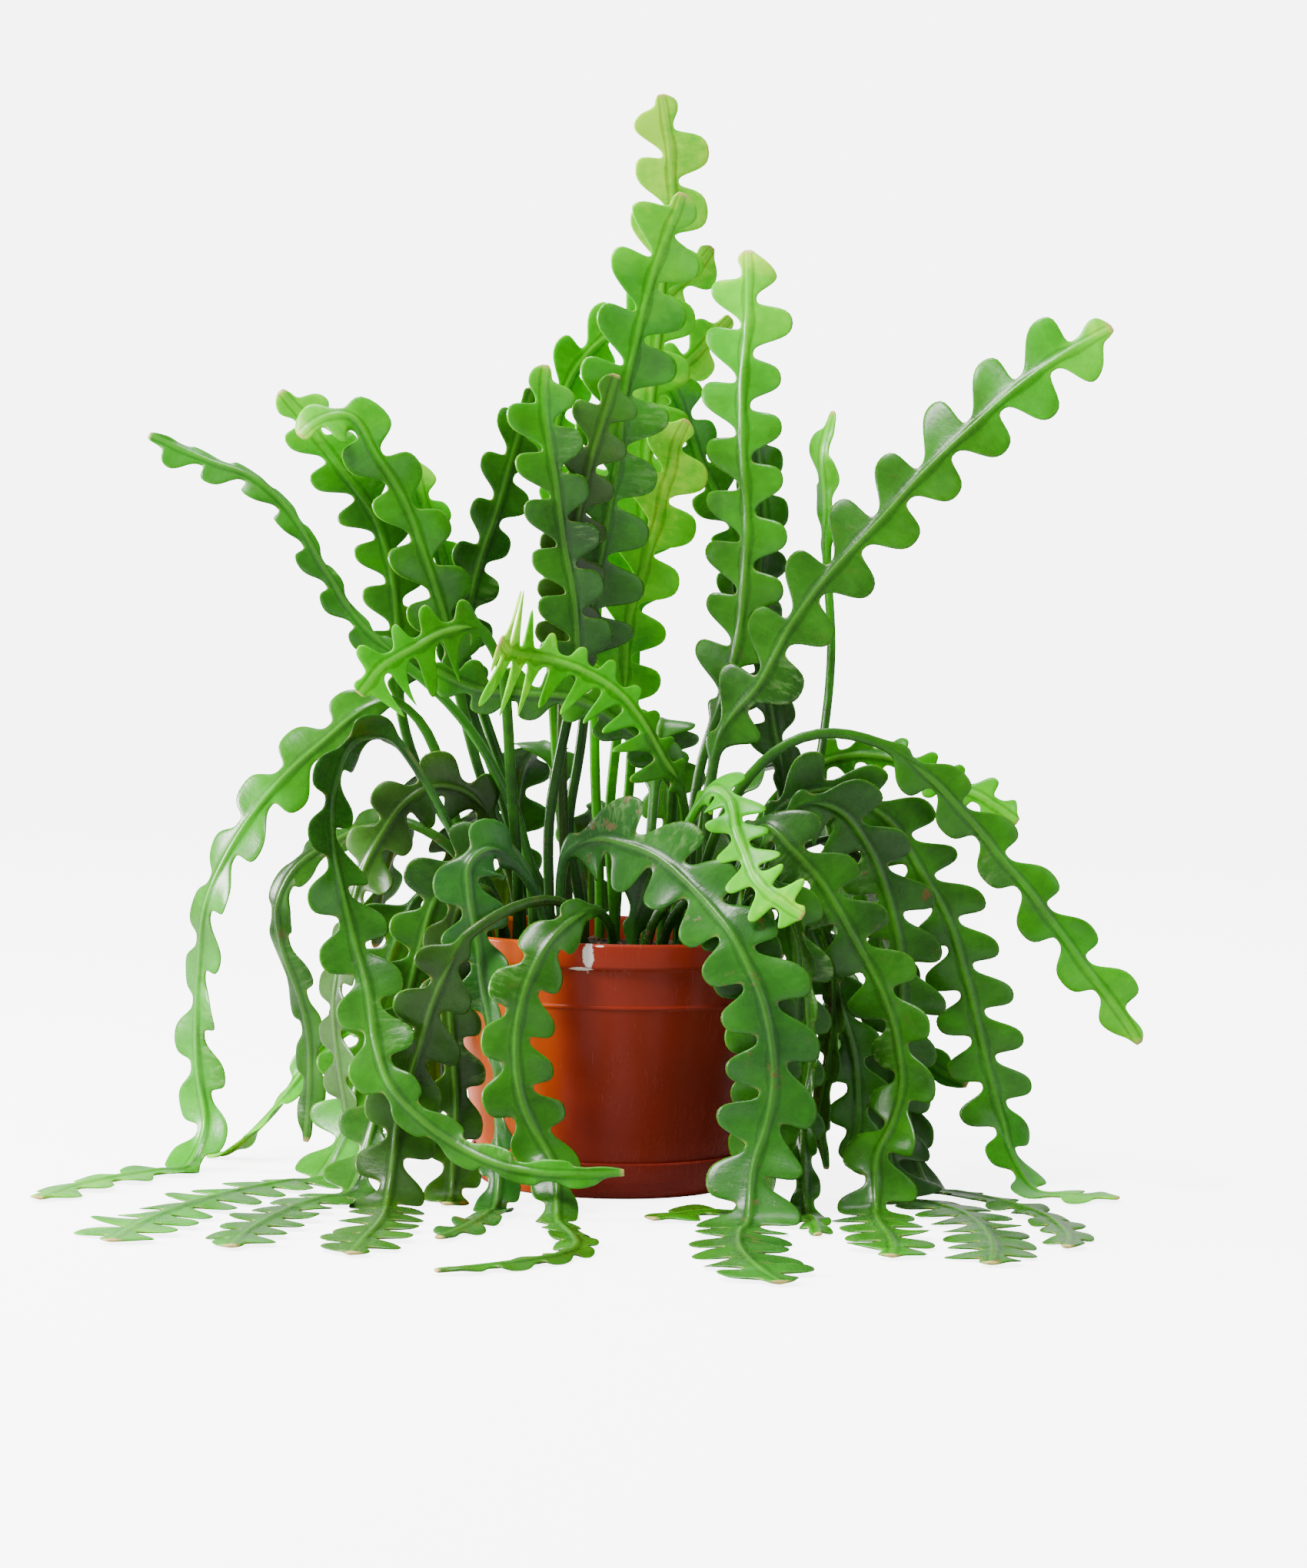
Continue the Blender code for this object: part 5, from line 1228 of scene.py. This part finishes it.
def margin(rows, index, sign, stem, length, draws):
    """Half width on one side, the length it is shifted to, and how the margin is cupped."""
    lobe, point = lobe_and_point(index, sign)
    pitch = stem["pitch"]
    share = np.array(LOBE_OUT)[point]
    outline = np.array(LOBE_ALONG) - stem["full"] * np.array(LOBE_FULLER)
    along = outline[point] - point / ROWS
    grow = smooth_share((rows - stem["stalk"]) / (GROW_IN * pitch)) * (index >= 0)
    left = length - rows
    fade = FADE_LEAST + (1.0 - FADE_LEAST) * smooth_share(left / (FADE_OUT * pitch))
    reach = stem["reach"] * np.interp(rows / length, *zip(*stem["widths"])) * fade
    if sign > 0:
        reach = reach * np.interp(rows / length, *zip(*stem["upper"]))
    reach = reach * draws["reach"][lobe]
    notch = np.minimum(NOTCH_HALF_WIDTH * stem["notch"], 0.48 * reach + 0.4)
    width = notch + (reach - notch) * share
    width = STALK_HALF_WIDTH + (width - STALK_HALF_WIDTH) * grow
    width = np.where(left < 1e-6, TIP_HALF_WIDTH, width)
    lean = LEAN[sign] + draws["lean"][lobe]
    shift = along * pitch + lean * (width - notch)
    shift = shift * grow * np.minimum(1.0, left / (GROW_IN * pitch))
    out = share * grow * fade
    cup = out ** 2 * draws["cup"][lobe]
    roll = out * draws["roll"][lobe] * (np.array(LOBE_ALONG)[point] - 0.6) * pitch
    ripple = out * 0.5 * np.sin(rows * 0.31 + draws["phase"])
    return width, shift, (cup + roll + ripple) * stem["wave"], lobe


# %% Describe the ribbon's section
STALK_HALF_DEPTH = 2.2
RIB_HALF_DEPTH = 2.0
TIP_RIB_DEPTH = 1.1
TIP_RIB_RUN = 60.0
STALK_BLADE_DEPTH = 1.35
BLADE_HALF_DEPTH = 0.85
EDGE_HALF_DEPTH = 0.42
LOWEST_Z = 0.35


def rib_depth(rows, stalk, length):
    on_stalk = np.interp(rows, (0.0, stalk), (STALK_HALF_DEPTH, RIB_HALF_DEPTH))
    near_tip = smooth_share((rows - (length - TIP_RIB_RUN)) / TIP_RIB_RUN)
    on_blade = RIB_HALF_DEPTH + (TIP_RIB_DEPTH - RIB_HALF_DEPTH) * near_tip
    return np.where(rows < stalk, on_stalk, on_blade)


def section(width, depth, blade):
    """Distances from the rib and half depths of the five points from rib to margin."""
    near = np.minimum(1.15, 0.42 * width)
    groove = np.minimum(2.0, 0.70 * width)
    middle = groove + (width - groove) * 0.55
    spread = np.stack((width * 0.0, near, groove, middle, width), axis=1)
    thick = np.stack((depth, depth * 0.84, blade * 1.05, blade * 0.92,
                      np.minimum(EDGE_HALF_DEPTH, blade)), axis=1)
    return spread, thick


# %% [markdown]
# ## One stem
# Each stem starts as a flat grid, which is pushed through to a thin slab, so that it has two
# faces and a narrow margin all round. Then every point of the slab is moved to its place
# beside the rib. Lofting ring by ring would give the same shape, but the grid keeps the rows
# and columns in step, so the slab can also carry values for the finish: how far a point is
# from the rib and from the margin, how young it is with painted shade in its tone, whether it
# is scarred, and where a painted sheen lies on it.

# %% Draw what differs from lobe to lobe
MARKS = ("along", "from_rib", "from_edge", "tint", "hue", "painted_sheen", "scar", "bud", "seed")
LOBE_SPANS = {"reach": (0.90, 1.07), "lean": (-0.07, 0.07), "cup": (-1.5, 1.1),
              "roll": (-0.14, 0.14), "tone": (-0.05, 0.05)}
# share of lobes that get a painted sheen
SHEENED_LOBES = 0.07
TINT_STATIONS = (0.0, 0.35, 0.80, 1.0)
BUD_SHARE = 0.22


def lobe_draws(draw, count):
    draws = {key: np.array([draw.uniform(*span) for _ in range(count)])
             for key, span in LOBE_SPANS.items()}
    draws["painted_sheen"] = np.array([1.0 if draw.random() < SHEENED_LOBES else draw.uniform(0.0, 0.10)
                               for _ in range(count)])
    draws["phase"] = draw.uniform(0.0, 6.28)
    return draws


# %% Place the points of one stem
def ribbon_side(sign, stem, route, facing, draw):
    """Places of one side's points, front and back, and the values they carry."""
    length = route.length
    rows, index = ribbon_rows(length, stem["stalk"], stem["pitch"])
    depth = rib_depth(rows, stem["stalk"], length)
    lobed = smooth_share((rows - stem["stalk"]) / stem["pitch"])
    blade = STALK_BLADE_DEPTH + (BLADE_HALF_DEPTH - STALK_BLADE_DEPTH) * lobed
    draws = lobe_draws(draw, index[-1] // ROWS + 3)
    width, shift, bow, lobe = margin(rows, index, sign, stem, length, draws)
    spread, thick = section(width, depth, np.minimum(blade, depth * 0.75))
    part = spread / np.maximum(width, 0.1)[:, None]
    there = np.clip(rows[:, None] + shift[:, None] * part ** 1.1, 0.0, length)
    heading = route.heading(there)
    face = facing.at(there, heading)
    lift = bow[:, None] * np.clip((part - 0.12) / 0.88, 0.0, 1.0) ** 1.6
    middle = route.at(there) + np.cross(heading, face) * (sign * spread)[..., None]
    places = [middle + face * (lift + way * thick)[..., None] for way in (1.0, -1.0)]
    at_notch = (index >= 0) & (lobe_and_point(index, sign)[1] == 0)
    bud = (at_notch * BUD_SHARE)[:, None] * (part > 0.99)
    bud[-1] = 1.0
    # tone along the stem: paler with youth towards the tip, and lower at the foot and on shaded
    # stems, which is painted shade
    young = np.interp(rows / length, TINT_STATIONS, stem["skin"])
    bare = (1.0 - lobed)[:, None] * 3.0
    even = spread * 0.0
    marks = {
        "along": there * MM,
        "from_rib": (spread + bare) * MM,
        "from_edge": (width[:, None] - spread + bare) * MM,
        "bud": bud,
        "tint": (young + draws["tone"][lobe] * lobed)[:, None] + even,
        "hue": even + stem["hue"],
        "painted_sheen": (draws["painted_sheen"][lobe] * lobed)[:, None] * np.clip(part, 0.0, 1.0),
        "scar": np.interp(there, (0.0, 35.0, 80.0), (1.0, 0.6, stem["scar"])),
        "seed": even + draws["phase"],
    }
    return places, marks


def join_sides(left, right):
    """One array from margin to margin: the rib's column is kept once."""
    return np.concatenate((left[:, :0:-1], right), axis=1)


# %% Shape a stem from a flat slab
def shape_ribbon(name, stem, points, front, seed):
    route = Route(points)
    facing = Facing(route, front, stem["lies"], stem["turns"])
    draw = random.Random(seed)
    (left, left_marks), (right, right_marks) = [ribbon_side(sign, stem, route, facing, draw)
                                                for sign in (-1.0, 1.0)]
    front_side, back_side = [join_sides(a, b) for a, b in zip(left, right)]
    marks = {key: join_sides(left_marks[key], right_marks[key]) for key in MARKS}
    lines, cells = front_side.shape[0] - 1, front_side.shape[1] - 1
    shape = bmesh.new()
    bmesh.ops.create_grid(shape, x_segments=cells, y_segments=lines, size=0.5)
    slab = bmesh.ops.extrude_face_region(shape, geom=shape.faces[:])
    bmesh.ops.translate(shape, verts=only(bmesh.types.BMVert, slab["geom"]), vec=(0.0, 0.0, 1.0))
    layers = {key: shape.verts.layers.float.new(key) for key in MARKS}
    for vert in shape.verts:
        column = round((vert.co.x + 0.5) * cells)
        row = round((vert.co.y + 0.5) * lines)
        side = front_side if vert.co.z > 0.5 else back_side
        x, y, z = side[row, column]
        vert.co = (x * MM, y * MM, max(z, LOWEST_Z) * MM)
        for key, layer in layers.items():
            vert[layer] = marks[key][row, column]
    bmesh.ops.recalc_face_normals(shape, faces=shape.faces)
    return finished_mesh(shape, name)


# %% [markdown]
# ## Grow all the stems
# Each row of the table becomes one piece, which takes the place of its plain solid. What a
# row doesn't say is filled in with the usual value of the plant: a middling lobe, a few
# scars at the foot and a blade that faces the viewer. Older hanging stems are scalloped,
# and upright ones are cut in nearly to the rib. One round of subdivision turns the points
# of each lobe into a smooth outline.

# %% Build every stem
TOWARDS_VIEWER = (0.0, -1.0, 0.0)
# partly painted shade: the usual tones start dark at the foot, where the stalks stand in the
# foliage's shade
PLAIN_SKIN = (0.20, 0.30, 0.38, 0.52)
EVEN = [(0.0, 1.0), (1.0, 1.0)]
FRONT_SEED, BACK_SEED = 100, 300


def usual_notch(name):
    hanging = name.startswith(("right_", "trail_left", "back_")) and name != "right_01"
    return 1.3 if hanging else 1.05


def full_stem(name, values):
    stem = dict(turns=0, widths=EVEN, upper=EVEN, floor=[], skin=PLAIN_SKIN, hue=0.0, scar=0.12,
                notch=usual_notch(name), wave=1.35, full=0.65, young=False, front=TOWARDS_VIEWER)
    stem.update(values)
    if not isinstance(stem["turns"], list):
        stem["turns"] = [(0, stem["turns"]), (1, stem["turns"])]
    stem["lies"] = bool(stem["floor"])
    return stem


def add_stem(name, stem, points, front, seed):
    mesh = shape_ribbon("blade_" + name, stem, points, front, seed)
    blade = place_piece("blade_" + name, mesh, young_skin if stem["young"] else mature_skin)
    fine = blade.modifiers.new("smooth", "SUBSURF")
    fine.levels = fine.render_levels = 1
    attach(blade, "root")
    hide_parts("stem_" + name)
    return blade


blades = []
for number, (name, values) in enumerate(STEMS.items()):
    stem = full_stem(name, values)
    points = stem_points(stem["base"], stem["route"], stem["floor"])
    blades.append(add_stem(name, stem, points, Vector(stem["front"]), FRONT_SEED + number))
for number, (name, arch) in enumerate(BACK_STEMS.items()):
    stem = full_stem(name, BACK_SHAPE)
    stem["lies"] = arch["lie"] > 0
    bearing = math.radians(arch["bearing"])
    outward = Vector((math.cos(bearing), math.sin(bearing), 0.0))
    blades.append(add_stem(name, stem, back_points(**arch), outward, BACK_SEED + number))
print("stems:", len(blades), "faces before smoothing:",
      sum(len(b.data.polygons) for b in blades))
